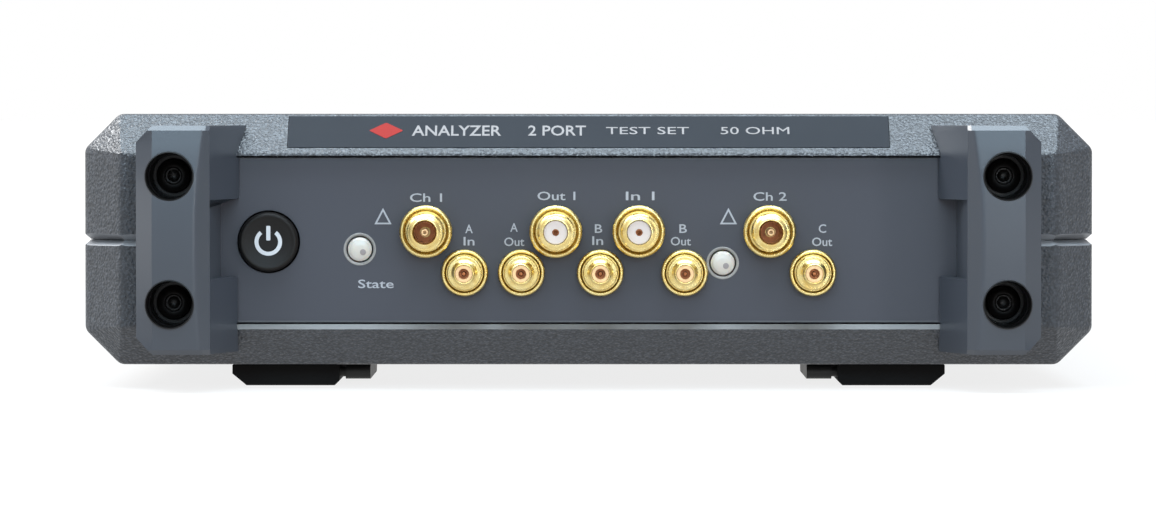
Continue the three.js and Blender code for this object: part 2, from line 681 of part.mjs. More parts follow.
// Large jack: threaded barrel filled by an insulator with a small socket contact.
function largeJack(x) {
  const t = LARGE_THREAD_RADIUS;
  const profile = [
    [0, 7.6], [0.45, 7.6], [0.45, 9.1], [2.05, 9.1], [2.05, 9.5], [2.5, 9.5], [t, 8.9],
    [t, 2.3], [3.7, 1.9], [4.25, 2.5], [4.6, 2.3], [4.6, GAP], [t, GAP],
    [t, -3], [4.3, -3], [4.3, -5], [2, -5], [2, -TAIL], [0, -TAIL],
  ];
  return turnedForward(profile, x, UPPER_ROW_Z);
}

// Small snap-on jack: stepped body and a plain barrel.
function smallJack(x) {
  const t = SMALL_THREAD_RADIUS;
  const profile = [
    [0, 5], [0.95, 5], [0.95, 8.3], [1.7, 8.3], [1.87, 8], [1.87, 3.4], [2.3, 3], [3, 3], [3.1, 1.8],
    [3.6, 1.6], [3.85, 2], [4.1, 1.8], [4.1, GAP], [t, GAP],
    [t, -3], [3.6, -3], [3.6, -4.6], [1.6, -4.6], [1.6, -TAIL], [0, -TAIL],
  ];
  return turnedForward(profile, x, LOWER_ROW_Z, 10);
}

// ---------------------------------------------------------------- feet, legs and cover screws

function leftFoot(hasPivot) {
  const section = [
    [-FOOT_OUTER_X, FOOT_TOP_Z], [-FOOT_OUTER_X, 2.05], [-FOOT_OUTER_X + 2.5, 0],
    [-FOOT_INNER_X - 0.8, 0], [-FOOT_INNER_X, 0.8], [-FOOT_INNER_X, FOOT_TOP_Z],
  ];
  const block = prismY(section, -FOOT_FRONT_Y, -FOOT_FRONT_Y + FOOT_LENGTH);
  const holes = [
    cylinderZ(FOOT_COUNTERBORE_RADIUS, -1, FOOT_COUNTERBORE_DEPTH, -COVER_SCREW_X, -COVER_SCREW_Y),
    cylinderZ(COVER_SCREW_HOLE, 1, FOOT_HEIGHT, -COVER_SCREW_X, -COVER_SCREW_Y, 10),
  ];
  if (hasPivot) {
    const bore = cylinderX(TRUNNION_BORE_RADIUS, -FOOT_INNER_X - TRUNNION_DEPTH - GAP, 0,
      -LEG_PIVOT_Y, LEG_PIVOT_Z);
    holes.push(bore);
  }
  return cut(block, holes);
}

// Folded tilt leg: a flat bar with round ends and a trunnion that turns in the foot beside it.
function leftTiltLeg() {
  const section = [];
  const steps = 8;
  for (const [y, start] of [[-LEG_PIVOT_Y, Math.PI / 2], [-LEG_PIVOT_Y + LEG_LENGTH, -Math.PI / 2]]) {
    for (let i = 0; i <= steps; i += 1) {
      const angle = start + Math.PI * i / steps;
      const rise = LEG_HALF_THICKNESS * Math.sin(angle);
      section.push([y + LEG_HALF_THICKNESS * Math.cos(angle), LEG_PIVOT_Z + rise]);
    }
  }
  const bar = prismX(section, -LEG_OUTER_X, -LEG_INNER_X);
  const trunnion = cylinderX(TRUNNION_RADIUS, -FOOT_INNER_X - TRUNNION_DEPTH, -LEG_OUTER_X + 1,
    -LEG_PIVOT_Y, LEG_PIVOT_Z);
  return join([bar, trunnion]);
}

// Long screw that goes up through a foot and both covers' bosses.
function coverScrew(x, y) {
  const profile = [
    [0, 0.6], [2.6, 0.6], [2.9, 0.9], [2.9, 1.9], [1.5, 1.9], [1.5, 39.5], [0.8, 40.5], [0, 40.5],
  ].map(([r, height]) => new THREE.Vector2(r, height));
  const turned = new THREE.LatheGeometry(profile, 10).rotateX(Math.PI / 2).translate(x, y, 0);
  const socket = cylinderZ(1.2, 0, 1.4, x, y, 6);
  return solid(turned).subtract(socket);
}

// ---------------------------------------------------------------- inside

const bossClearances = (low, high) => [-1, 1].flatMap((x) => [-1, 1].map((y) => (
  cylinderZ(BOSS_CLEARANCE_RADIUS, low, high, x * COVER_SCREW_X, y * COVER_SCREW_Y))));

function chassisTray() {
  const t = TRAY;
  const pieces = [box(-t.x, t.x, -t.y, t.y, t.low, t.high)];
  for (const [x0, x1] of [[-t.x, -t.x + t.flange], [t.x - t.flange, t.x]]) {
    pieces.push(box(x0, x1, -t.y, t.y, t.low, t.flangeHigh));
  }
  for (const x of STANDOFFS_X) {
    for (const y of STANDOFFS_Y) {
      pieces.push(cylinderZ(STANDOFF_RADIUS, t.high - 0.5, BOARD.low - GAP, x, y, 8));
    }
  }
  return cut(join(pieces), bossClearances(0, BOARD.low));
}

// Board whose tongue reaches back to carry the rear connectors.
function mainBoard() {
  const { left, right, y } = BOARD_TONGUE;
  const plate = box(-BOARD.x, BOARD.x, -BOARD.y, BOARD.y, BOARD.low, BOARD.high);
  const tongue = box(left, right, BOARD.y - 1, y, BOARD.low, BOARD.high);
  return cut(join([plate, tongue]), bossClearances(BOARD.low - 1, BOARD.high + 1));
}

// Shield can, open towards the board.
function shieldCan({ left, right }) {
  const low = BOARD.high + GAP;
  const [front, back] = SHIELD_Y;
  const w = SHIELD_WALL;
  return box(left, right, front, back, low, low + SHIELD_HEIGHT)
    .subtract(box(left + w, right - w, front + w, back - w, low - 1, low + SHIELD_HEIGHT - w));
}

function heatSink() {
  const low = BOARD.high + GAP + SHIELD_HEIGHT + GAP;
  const deck = low + SINK.base;
  const pitch = (2 * SINK.halfWidth - SINK.finWidth) / (SINK.fins - 1);
  const comb = [[-SINK.halfWidth, low], [SINK.halfWidth, low]];
  for (let i = SINK.fins - 1; i >= 0; i -= 1) {
    const x = -SINK.halfWidth + i * pitch;
    if (i < SINK.fins - 1) {
      comb.push([x + SINK.finWidth, deck]);
    }
    comb.push([x + SINK.finWidth, deck + SINK.fin], [x, deck + SINK.fin]);
    if (i > 0) {
      comb.push([x, deck]);
    }
  }
  return prismY(comb, SINK.front, SINK.back);
}

// Frame with a motor on crossed struts at the back, and the spindle that the impeller turns on.
function fanFrame(x) {
  const half = FAN_SIZE / 2;
  const back = FAN_FRONT_Y + FAN_DEPTH;
  const [strutHalf, strutFront] = [FAN_STRUT.width / 2, back - FAN_STRUT.depth];
  const reach = FAN_BORE_RADIUS + 0.5;
  const frame = box(x - half, x + half, FAN_FRONT_Y, back, MID_Z - half, MID_Z + half);
  const bore = cylinderY(FAN_BORE_RADIUS, FAN_FRONT_Y - 1, back + 1, x, MID_Z, 24);
  const motor = cylinderY(FAN_HUB_RADIUS, back - 2, back, x, MID_Z);
  const struts = [
    box(x - reach, x + reach, strutFront, back, MID_Z - strutHalf, MID_Z + strutHalf),
    box(x - strutHalf, x + strutHalf, strutFront, back, MID_Z - reach, MID_Z + reach),
  ];
  const spindle = cylinderY(1, back - 5, back - 1, x, MID_Z, 10);
  return join([frame.subtract(bore), motor, ...struts, spindle]);
}

// Hub with blades set across it. The blades are made upright at the origin, then turned round.
function fanImpeller(x) {
  const { tipRadius, blades, twist, bladeThickness } = IMPELLER;
  const front = FAN_FRONT_Y + 0.6;
  const back = FAN_FRONT_Y + FAN_DEPTH - 2.4;
  const rootRadius = FAN_HUB_RADIUS - 1.75;
  const pieces = [cylinderY(FAN_HUB_RADIUS, front, back, 0, 0)];
  for (let i = 0; i < blades; i += 1) {
    const blade = new THREE.BoxGeometry(bladeThickness, back - front, tipRadius - rootRadius - 0.25);
    blade.rotateZ(twist).scale(1, 0.82, 1);
    blade.translate(0, (front + back) / 2, (tipRadius + rootRadius - 0.25) / 2);
    blade.rotateY(2 * Math.PI * i / blades);
    pieces.push(solid(blade));
  }
  const bore = cylinderY(1.3, back - 4, back + 1, 0, 0, 10);
  const impeller = join(pieces).subtract(bore);
  return solid(geometryOf(impeller).translate(x, 0, MID_Z));
}

// Metal shell on the board, with the contact tongue standing in its cavity.
function usbReceptacle() {
  const { x, halfWidth, height, length, shell } = USB;
  const low = BOARD.high + GAP;
  const back = PANEL_Y - 0.4;
  const [cavityHalf, tongueHalf, middle] = [halfWidth - shell, halfWidth - 1.3, low + height / 2];
  const body = box(x - halfWidth, x + halfWidth, back - length, back, low, low + height);
  const cavity = box(x - cavityHalf, x + cavityHalf, back - length + 3, back + 1,
    low + shell, low + height - shell);
  const tongue = box(x - tongueHalf, x + tongueHalf, back - length + 2, back - 1.2,
    middle - 0.35, middle + 0.35);
  return join([body.subtract(cavity), tongue]);
}

// Power jack: a block on the board, and a round nose with the centre pin in its bore.
function dcJack() {
  const { x, z, halfWidth, length, height, noseRadius, boreRadius } = DC;
  const low = BOARD.high + GAP;
  const inner = PANEL_BACK_Y - GAP;
  const body = box(x - halfWidth, x + halfWidth, inner - length, inner, low, low + height);
  const nose = cylinderY(noseRadius, inner - 1, PANEL_Y + 0.2, x, z);
  const bore = cylinderY(boreRadius, inner - 9, PANEL_Y + 1, x, z);
  const pin = cylinderY(1.2, inner - 10, PANEL_Y - 1, x, z, 10);
  return join([join([body, nose]).subtract(bore), pin]);
}

// Ground stud with a round thumb nut, and its lock nut behind the panel.
function groundTerminal() {
  const profile = [
    [0, 9], [1.5, 9], [2, 8.5], [2, 6.5], [3.6, 6.5], [4, 6.1], [4, 1], [3.6, GAP], [2, GAP],
    [2, -3], [3.4, -3], [3.4, -5], [2, -5], [2, -7], [0, -7],
  ];
  return reflected(turnedForward(profile, GROUND.x, GROUND.z), 1, -1);
}

// Semi-rigid coaxial cable from a test port's tail to the front wall of its shield.
function portCable(x, shieldX) {
  const start = -PANEL_Y + TAIL + GAP;
  const end = SHIELD_Y[0] - GAP;
  const route = new THREE.CatmullRomCurve3([
    new THREE.Vector3(x, start, UPPER_ROW_Z),
    new THREE.Vector3(x, start + CABLE_STRAIGHT, UPPER_ROW_Z),
    new THREE.Vector3((x + shieldX) / 2, (start + end) / 2, (UPPER_ROW_Z + CABLE_END.z) / 2),
    new THREE.Vector3(shieldX, end - CABLE_STRAIGHT, CABLE_END.z),
    new THREE.Vector3(shieldX, end, CABLE_END.z),
  ]);
  const round = new THREE.Shape().absarc(0, 0, CABLE_RADIUS, 0, 2 * Math.PI, false);
  const options = { steps: 16, curveSegments: 4, extrudePath: route, bevelEnabled: false };
  return solid(new THREE.ExtrudeGeometry(round, options));
}

// ---------------------------------------------------------------- assembly

node('top_cover', topCover(), FINISH.cover);
node('bottom_cover', bottomCover(), FINISH.cover);
node('front_panel', frontPanel(), FINISH.panel);
node('rear_panel', rearPanel(), FINISH.panel);
node('header_label', headerLabel(), FINISH.label);

const ENDS = [['front', 1], ['rear', -1]];
const SIDES = [['left', 1], ['right', -1]];
const LEVELS = [['upper', 1], ['lower', -1]];
const bumper = leftFrontBumper();
for (const [end, signY] of ENDS) {
  for (const [side, signX] of SIDES) {
    node(`${end}_bumper_${side}`, reflected(bumper, signX, signY), FINISH.bumper);
    node(`${end}_foot_${side}`, reflected(leftFoot(end === 'front'), signX, signY), FINISH.rubber);
    node(`cover_screw_${end}_${side}`,
      coverScrew(-signX * COVER_SCREW_X, -signY * COVER_SCREW_Y), FINISH.steel);
    for (const [level, up] of LEVELS) {
      const screw = bumperScrew(-BUMPER_SCREW_X, BUMPER_MID_Z + up * BUMPER_SCREW_RISE);
      node(`${end}_bumper_screw_${side}_${level}`, reflected(screw, signX, signY), FINISH.blackSteel);
    }
  }
}
for (const [side, signX] of SIDES) {
  node(`tilt_leg_${side}`, reflected(leftTiltLeg(), signX, 1), FINISH.blackPlastic);
}

node('power_button', powerButton(), FINISH.blackPlastic);
node('power_switch', powerSwitch(), FINISH.blackPlastic);
for (const { name, x, z } of LIGHTS) {
  node(name, lightPipe(x, z), FINISH.light);
}
for (const { name, x } of TEST_PORTS) {
  node(name, testPort(x), FINISH.gold);
}
for (const { name, x } of LARGE_JACKS) {
  node(name, largeJack(x), FINISH.gold);
}
for (const { name, x } of SMALL_JACKS) {
  node(name, smallJack(x), FINISH.gold);
}

node('chassis_tray', chassisTray(), FINISH.steel);
node('main_board', mainBoard(), FINISH.board);
for (const can of SHIELDS) {
  node(can.name, shieldCan(can), FINISH.aluminium);
}
node('heat_sink', heatSink(), FINISH.aluminium);
FAN_CENTRES_X.forEach((x, i) => {
  node(`fan_frame_${i + 1}`, fanFrame(x), FINISH.blackPlastic);
  node(`fan_impeller_${i + 1}`, fanImpeller(x), FINISH.blackPlastic);
});
node('usb_c_receptacle', usbReceptacle(), FINISH.steel);
node('dc_power_jack', dcJack(), FINISH.blackPlastic);
node('ground_terminal', groundTerminal(), FINISH.steel);
node('port_1_cable', portCable(TEST_PORTS[0].x, -CABLE_END.x), FINISH.copper);
node('port_2_cable', portCable(TEST_PORTS[1].x, CABLE_END.x), FINISH.copper);

export default analyzer;
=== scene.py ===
"""Looks of a compact two-port network analyzer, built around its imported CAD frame.

Shapes are written in millimetres and brought to metres as each piece is made. X is the width,
Y the depth with the front towards -Y, and Z is up from the table.
"""

from math import cos, hypot, pi, radians, sin, sqrt, tan

import bmesh
import bpy
from mathutils import Matrix, Vector


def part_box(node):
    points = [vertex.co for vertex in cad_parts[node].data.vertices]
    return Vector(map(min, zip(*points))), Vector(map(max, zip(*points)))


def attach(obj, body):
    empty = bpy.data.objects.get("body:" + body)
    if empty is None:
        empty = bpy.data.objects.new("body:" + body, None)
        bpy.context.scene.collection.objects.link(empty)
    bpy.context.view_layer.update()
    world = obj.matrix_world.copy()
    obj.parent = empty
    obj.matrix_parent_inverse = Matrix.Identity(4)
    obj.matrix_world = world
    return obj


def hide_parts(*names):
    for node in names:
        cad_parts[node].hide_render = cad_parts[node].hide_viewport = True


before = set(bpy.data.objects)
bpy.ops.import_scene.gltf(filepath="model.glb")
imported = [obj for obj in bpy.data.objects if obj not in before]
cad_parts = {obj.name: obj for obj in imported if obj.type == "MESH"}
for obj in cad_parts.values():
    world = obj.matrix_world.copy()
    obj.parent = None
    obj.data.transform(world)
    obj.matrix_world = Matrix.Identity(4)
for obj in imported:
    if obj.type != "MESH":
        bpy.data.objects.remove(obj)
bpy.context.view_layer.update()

MM = 0.001


def span(node):
    """Lowest and highest corner of a CAD node, in millimetres."""
    low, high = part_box(node)
    return low / MM, high / MM


def middle(node):
    low, high = span(node)
    return (low + high) / 2


# ---- sizes

COVER_LOW, COVER_HIGH = span("bottom_cover")[0], span("top_cover")[1]
HALF_WIDTH = COVER_HIGH.x
FRAME_Y = COVER_HIGH.y  # flat end frame of the covers
TOP_Z = COVER_HIGH.z
MID_Z = (COVER_LOW.z + COVER_HIGH.z) / 2
HALF_HEIGHT = TOP_Z - MID_Z
FACE_Y = span("rear_bumper_left")[1].y  # outer faces of the bumpers
PANEL_LOW, PANEL_HIGH = span("front_panel")
PANEL_Y = -PANEL_LOW.y  # outer face of both panels
PANEL_RISE = (PANEL_HIGH.z - PANEL_LOW.z) / 2
GAP = 0.3
REVEAL = 0.28  # gap seen round a panel
SINK = 0.02  # how far printed work sits in its surface
PRINT_LIFT = 0.06  # how far it stands proud
FAR_X, FAR_Y = 120, 200  # beyond the whole object

CORNER_CHAMFER = 6.1
CORNER_ROUND = 2.0
WALL = 2.4
LIP_INSET = 7.0
LIP_DEPTH = 8.0
SLOPE_Y = FRAME_Y - LIP_DEPTH
GROOVE_RISE = 1.05
GROOVE_DEPTH = 1.2
PANEL_X = 65.3  # half width of both panels
PANEL_DEPTH = 2.7
PANEL_CHAMFER = 0.3
EDGE = 0.35  # rounding of the covers' edges
SIDE_EASE, TOP_EASE = 1.5, 0.5  # rounding of the end slopes' edges

BUMPER_Z = middle("front_bumper_left").z
BUMPER_RISE = span("front_bumper_left")[1].z - BUMPER_Z
OUTER_X = -span("front_bumper_left")[0].x
BEVEL = 2.9
END_BEVEL = 0.85
WALL_FRONT_X = 65.1
WALL_ROOT_X = 61.2
BUMPER_FLARE = 0.26
SECTIONS = 25
CROWN = 1.2  # how far the face falls back at its ends
BUMPER_EASE = 0.7  # rounding of the face's inner edge
NOTCH_LOW_Z, NOTCH_HIGH_Z = 19.5, 33.1
NOTCH_ROOT_X = 64.1
BUMPER_SCREW = middle("front_bumper_screw_left_upper")
SCREW_X = -BUMPER_SCREW.x
SCREW_RISE = BUMPER_SCREW.z - BUMPER_Z
RECESS_RADIUS = 4.25
SEAT_Y = -FRAME_Y - GAP - 2.3  # bottom of the screw recesses
SCREW_HOLE = 2.05

VENT_COUNT, VENT_PITCH, VENT_WIDTH, VENT_START_Y = 9, 6.0, 2.4, 66.0
VENT_LOW_RISE, VENT_HIGH_RISE = 4.0, 13.0

# ---- mesh tools


def discard(obj):
    bpy.data.objects.remove(obj)


def placed(name, data):
    made = bpy.data.objects.new(name, data)
    bpy.context.scene.collection.objects.link(made)
    return made


def scratch(bm):
    """A hidden working object, in millimetres, that cuts or is cut."""
    bmesh.ops.recalc_face_normals(bm, faces=bm.faces)
    mesh = bpy.data.meshes.new("scratch")
    bm.to_mesh(mesh)
    bm.free()
    return placed("scratch", mesh)


def evaluated(obj):
    graph = bpy.context.evaluated_depsgraph_get()
    return bpy.data.meshes.new_from_object(obj.evaluated_get(graph))


def bake(obj):
    """Applies an object's modifiers to its mesh."""
    mesh = evaluated(obj)
    obj.modifiers.clear()
    obj.data = mesh
    return obj


def combine(base, tools, operation):
    for tool in tools:
        step = base.modifiers.new("combine", "BOOLEAN")
        step.operation = operation
        step.solver = "EXACT"
        step.object = tool
    bake(base)
    for tool in tools:
        discard(tool)
    return base


def cut(base, *tools):
    return combine(base, tools, "DIFFERENCE")


def join(base, *tools):
    return combine(base, tools, "UNION")


def group(objs):
    """One working object that holds several solids which don't touch."""
    bm = bmesh.new()
    for obj in objs:
        bm.from_mesh(obj.data)
        discard(obj)
    return scratch(bm)


def soften(obj, width, angle=28, keep=lambda edge: False):
    """Rounds the edges sharper than angle degrees, but for those that keep picks."""
    bm = bmesh.new()
    bm.from_mesh(obj.data)
    weights = bm.edges.layers.float.new("bevel_weight_edge")
    for edge in bm.edges:
        edge[weights] = float(edge.calc_face_angle(0) > radians(angle) and not keep(edge))
    bm.to_mesh(obj.data)
    bm.free()
    bevel = obj.modifiers.new("soften", "BEVEL")
    bevel.width = width
    bevel.segments = 2
    bevel.limit_method = "WEIGHT"
    bevel.miter_outer = "MITER_ARC"
    return bake(obj)


def piece(obj, name, material, stands_for=(), body="chassis", accents=()):
    """Turns a working object into a finished piece: metres, name, shading, material, body.
    accents are pairs of another material and the test that picks its faces."""
    obj.data.shade_smooth()
    obj.data.set_sharp_from_angle(angle=radians(40))
    weigh = obj.modifiers.new("weigh", "WEIGHTED_NORMAL")
    weigh.keep_sharp = True
    weigh.weight = 90
    bake(obj)
    obj.name = name
    obj.data.name = name
    obj.data.materials.clear()
    obj.data.materials.append(material)
    for index, (finish, picks) in enumerate(accents, 1):
        obj.data.materials.append(finish)
        for face in obj.data.polygons:
            if picks(face):
                face.material_index = index
    obj.data.transform(Matrix.Scale(MM, 4))
    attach(obj, body)
    if stands_for:
        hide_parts(*stands_for)
    return obj


def mirrored(obj, sign_x, sign_y):
    """A copy of a working object on another side: signs are +1 or -1."""
    bm = bmesh.new()
    bm.from_mesh(obj.data)
    bmesh.ops.scale(bm, vec=(sign_x, sign_y, 1), verts=bm.verts)
    return scratch(bm)


SIDES = (("left", 1), ("right", -1))
ENDS = (("front", 1), ("rear", -1))


def at_corners(obj, name, material, node=None):
    """Four mirrored pieces of a working object that was made for the front left corner."""
    for end, sign_y in ENDS:
        for side, sign_x in SIDES:
            stands_for = [node.format(end, side)] if node else ()
            piece(mirrored(obj, sign_x, sign_y), name.format(end, side), material, stands_for)
    discard(obj)


def box(x0, x1, y0, y1, z0, z1):
    bm = bmesh.new()
    bmesh.ops.create_cube(bm, size=1)
    bmesh.ops.scale(bm, vec=(x1 - x0, y1 - y0, z1 - z0), verts=bm.verts)
    bmesh.ops.translate(bm, vec=((x0 + x1) / 2, (y0 + y1) / 2, (z0 + z1) / 2), verts=bm.verts)
    return scratch(bm)


def hull(points):
    bm = bmesh.new()
    for point in points:
        bm.verts.new(point)
    bmesh.ops.convex_hull(bm, input=bm.verts)
    bmesh.ops.dissolve_limit(bm, angle_limit=radians(0.3), verts=bm.verts, edges=bm.edges)
    return scratch(bm)


def loft(rings):
    """Skin over rings with the same count of points, with both ends closed."""
    bm = bmesh.new()
    made = [[bm.verts.new(point) for point in ring] for ring in rings]
    count = len(rings[0])
    for low, high in zip(made, made[1:]):
        for i in range(count):
            k = (i + 1) % count
            bm.faces.new((low[i], low[k], high[k], high[i]))
    bm.faces.new(made[0])
    bm.faces.new(made[-1])
    return scratch(bm)


def prism(outline, start, end, axis="y"):
    """Outline of points carried along an axis: (y, z) along x, (x, z) along y, (x, y) along z."""
    at = "xyz".index(axis)
    return loft([[(*point[:at], w, *point[at:]) for point in outline] for w in (start, end)])


def circle(radius, u, v, sides=48):
    angles = [2 * pi * i / sides for i in range(sides)]
    return [(u + radius * cos(a), v + radius * sin(a)) for a in angles]


def eased(points, radius, steps=3):
    """The open outline with each inner corner rounded to about radius."""
    done = [points[0]]
    for before, corner, after in zip(points, points[1:], points[2:]):
        before, corner, after = Vector(before), Vector(corner), Vector(after)
        reach = min(radius, (corner - before).length / 2.01, (after - corner).length / 2.01)
        start = corner + (before - corner).normalized() * reach
        end = corner + (after - corner).normalized() * reach
        for i in range(steps + 1):
            t = i / steps
            point = start * (1 - t) ** 2 + corner * 2 * t * (1 - t) + end * t ** 2
            done.append(tuple(point))
    done.append(points[-1])
    return done


def rounded(points, radius, steps=4):
    """The closed outline with its corners rounded."""
    wrapped = [points[-1]] + list(points) + [points[0]]
    return eased(wrapped, radius, steps)[1:-1]


def turned(profile, place, axis, sides=64, wave=None):
    """Solid of revolution. profile is (radius, distance along the axis), from point to point on the
    axis or a ring that closes on itself, and wave(angle, distance) adds to the radius."""
    ahead = Vector(axis).normalized()
    side = ahead.orthogonal().normalized()
    up = ahead.cross(side)
    place = Vector(place)
    bm = bmesh.new()
    rings = []
    for radius, distance in profile:
        centre = place + ahead * distance
        if radius < 1e-6:
            rings.append([bm.verts.new(centre)])
            continue
        ring = []
        for i in range(sides):
            angle = 2 * pi * i / sides
            r = radius + (wave(angle, distance) if wave else 0)
            ring.append(bm.verts.new(centre + side * (r * cos(angle)) + up * (r * sin(angle))))
        rings.append(ring)
    ends = [] if len(rings[0]) == 1 else [(rings[-1], rings[0])]
    for low, high in [*zip(rings, rings[1:]), *ends]:
        for i in range(sides):
            k = (i + 1) % sides
            if len(low) == 1:
                bm.faces.new((low[0], high[k], high[i]))
            elif len(high) == 1:
                bm.faces.new((low[i], low[k], high[0]))
            else:
                bm.faces.new((low[i], low[k], high[k], high[i]))
    return scratch(bm)


# ---- materials


class Nodes:
    """Short calls that build a node tree. Sizes of patterns are in millimetres."""

    def __init__(self, owner):
        owner.use_nodes = True
        self.tree = owner.node_tree
        self.coordinates = self.add("TexCoord").outputs
        self.place = self.coordinates["Object"]

    def add(self, kind, inputs=None, **settings):
        node = self.tree.nodes.new("ShaderNode" + kind)
        for key, value in settings.items():
            setattr(node, key, value)
        for key, value in (inputs or {}).items():
            self.feed(node, key, value)
        return node

    def feed(self, node, key, value):
        if isinstance(value, bpy.types.NodeSocket):
            self.tree.links.new(value, node.inputs[key])
        else:
            node.inputs[key].default_value = value

    def set(self, **inputs):
        """Feeds the material's shader."""
        shader = self.tree.nodes["Principled BSDF"]
        for key, value in inputs.items():
            self.feed(shader, key.replace("_", " ").title().replace("Ior", "IOR"), value)

    def noise(self, size, detail=2.0, stretch=None):
        place = self.place
        if stretch:
            place = self.add("Mapping", {"Vector": place, "Scale": stretch}).outputs[0]
        settings = {"Vector": place, "Scale": 1 / (size * MM), "Detail": detail}
        return self.add("TexNoise", settings).outputs[0]

    def cells(self, size):
        settings = {"Vector": self.place, "Scale": 1 / (size * MM)}
        return self.add("TexVoronoi", settings, feature="SMOOTH_F1").outputs["Distance"]

    def spread(self, value, low, high, start=0.3, end=0.7):
        inputs = {"Value": value, "From Min": start, "From Max": end, "To Min": low, "To Max": high}
        return self.add("MapRange", inputs).outputs[0]

    def mix(self, factor, first, second, blend="MIX"):
        inputs = {"Fac": factor, "Color1": first, "Color2": second}
        return self.add("MixRGB", inputs, blend_type=blend).outputs[0]

    def bump(self, height, depth, strength=1.0, below=None):
        inputs = {"Height": height, "Distance": depth * MM, "Strength": strength}
        if below:
            inputs["Normal"] = below
        return self.add("Bump", inputs).outputs[0]


def tone(colour, gain=1.0):
    """RGBA from an 0-255 sRGB colour, with its linear value times gain."""
    linear = [((c / 255 + 0.055) / 1.055) ** 2.4 if c > 10 else c / 255 / 12.92 for c in colour]
    return (*[min(1.0, c * gain) for c in linear], 1.0)


def satin(name, colour, roughness, metallic=0.0, mottle=0.06, mottle_size=9.0,
          grain=0.004, grain_size=0.25, stretch=None, gloss=0.05, shine=0.5, **more):
    """Plain finish with faint clouds of tone and gloss and a fine grain."""
    material = bpy.data.materials.new(name)
    f = Nodes(material)
    clouds = f.noise(mottle_size, 3.0, stretch)
    fine = f.noise(grain_size, 2.0, stretch)
    shade = f.spread(clouds, 1 - mottle, 1 + mottle)
    grey = f.add("CombineColor", {"Red": shade, "Green": shade, "Blue": shade}).outputs[0]
    base = f.mix(1.0, tone(colour), grey, "MULTIPLY")
    normal = f.bump(fine, grain)
    patches = f.noise(mottle_size / 2, 2.0)
    rough = f.spread(patches, roughness - gloss, roughness + gloss, 0.1, 0.9)
    f.set(base_color=base, metallic=metallic, normal=normal, roughness=rough,
          specular_ior_level=shine, **more)
    return material


def textured_coat(name, colour):
    """Coarse textured powder coat: rounded grains with a low sheen, painted highlight on their crests,
    painted shade between them and bright painted glints.
    """
    material = bpy.data.materials.new(name)
    f = Nodes(material)
    grains = f.cells(0.44)
    fine = f.noise(0.2, 2.0)
    glint_flecks = f.noise(0.55, 1.0)
    clouds = f.noise(14.0, 3.0)
    crest = f.spread(grains, 1.0, 0.0, 0.1, 0.7)
    # grain crests painted lighter and the hollows between them painted darker: painted highlight and
    # painted shade
    base = f.mix(crest, tone(colour, 0.6), tone(colour, 1.3))
    # bright flecks where the gloss is also higher: painted glints
    base = f.mix(f.spread(glint_flecks, 0.0, 0.5, 0.48, 0.62), base, tone(colour, 2.2))
    base = f.mix(f.spread(clouds, 0.0, 0.25), base, tone(colour, 0.85))
    relief = f.bump(crest, 0.14, 0.8, f.bump(fine, 0.04, 0.8))
    f.set(base_color=base, roughness=f.spread(glint_flecks, 0.48, 0.3, 0.4, 0.62), normal=relief)
    return material


def gold_plate(name, colour, roughness):
    """Bright plating over turned brass, with fine turning marks and warmer patches."""
    material = bpy.data.materials.new(name)
    f = Nodes(material)
    patches = f.noise(1.6, 3.0)
    base = f.mix(f.spread(patches, 0.0, 1.0), tone(colour), tone((214, 184, 110)))
    f.set(base_color=base, metallic=1.0, normal=f.bump(f.noise(0.12, 2.0), 0.003),
          roughness=f.spread(f.noise(0.8, 2.0), roughness - 0.05, roughness + 0.08))
    return material


COVER = textured_coat("powder_coat", (40, 43, 48))
# smooth finish of the groove and sill accents, whose lighter colours are painted highlight
LIT_EDGE_FINISH = {"roughness": 0.42, "mottle": 0.08, "mottle_size": 3, "grain": 0.002}
GROOVE_FLANK_HIGHLIGHT = satin("groove_flank_highlight", (106, 108, 112), **LIT_EDGE_FINISH)
# smoother finish of the chamfer below a panel, lighter in colour as a painted highlight
SILL_SMOOTH_HIGHLIGHT = satin("sill_smooth_highlight", (92, 92, 92), **LIT_EDGE_FINISH)
# lighter colour of the panels' chamfered rim: painted highlight
PANEL_RIM_HIGHLIGHT = satin("panel_rim_highlight", (78, 81, 86), 0.5, mottle_size=4, grain=0.002)
PANEL = satin("panel_paint", (51, 52, 59), 0.55, mottle=0.03, mottle_size=22, grain=0.003,
              grain_size=0.3, shine=0.35)
BUMPER = satin("bumper_polymer", (48, 52, 59), 0.3, mottle=0.03, mottle_size=24, grain=0.0015,
               grain_size=0.5, gloss=0.02)
LABEL = satin("label_film", (30, 33, 38), 0.4, mottle=0.04, grain=0.002, shine=0.06)
INK = {"roughness": 0.6, "mottle": 0.05, "grain": 0.001}
WHITE_PRINT = satin("white_print", (176, 178, 182), **INK)
GREY_PRINT = satin("grey_print", (142, 144, 150), **INK)
HEADER_PRINT = satin("header_print", (124, 121, 121), shine=0.1, **INK)
RED_PRINT = satin("red_print", (126, 32, 28), shine=0.1, **INK)
BLACK_PLASTIC = satin("black_plastic", (20, 19, 19), 0.45, shine=0.3)
BUTTON_FACE = satin("button_plastic", (22, 20, 19), 0.42, shine=0.16)
RUBBER = satin("rubber", (11, 10, 10), 0.65, mottle=0.12, grain=0.02, grain_size=0.4, shine=0.08)
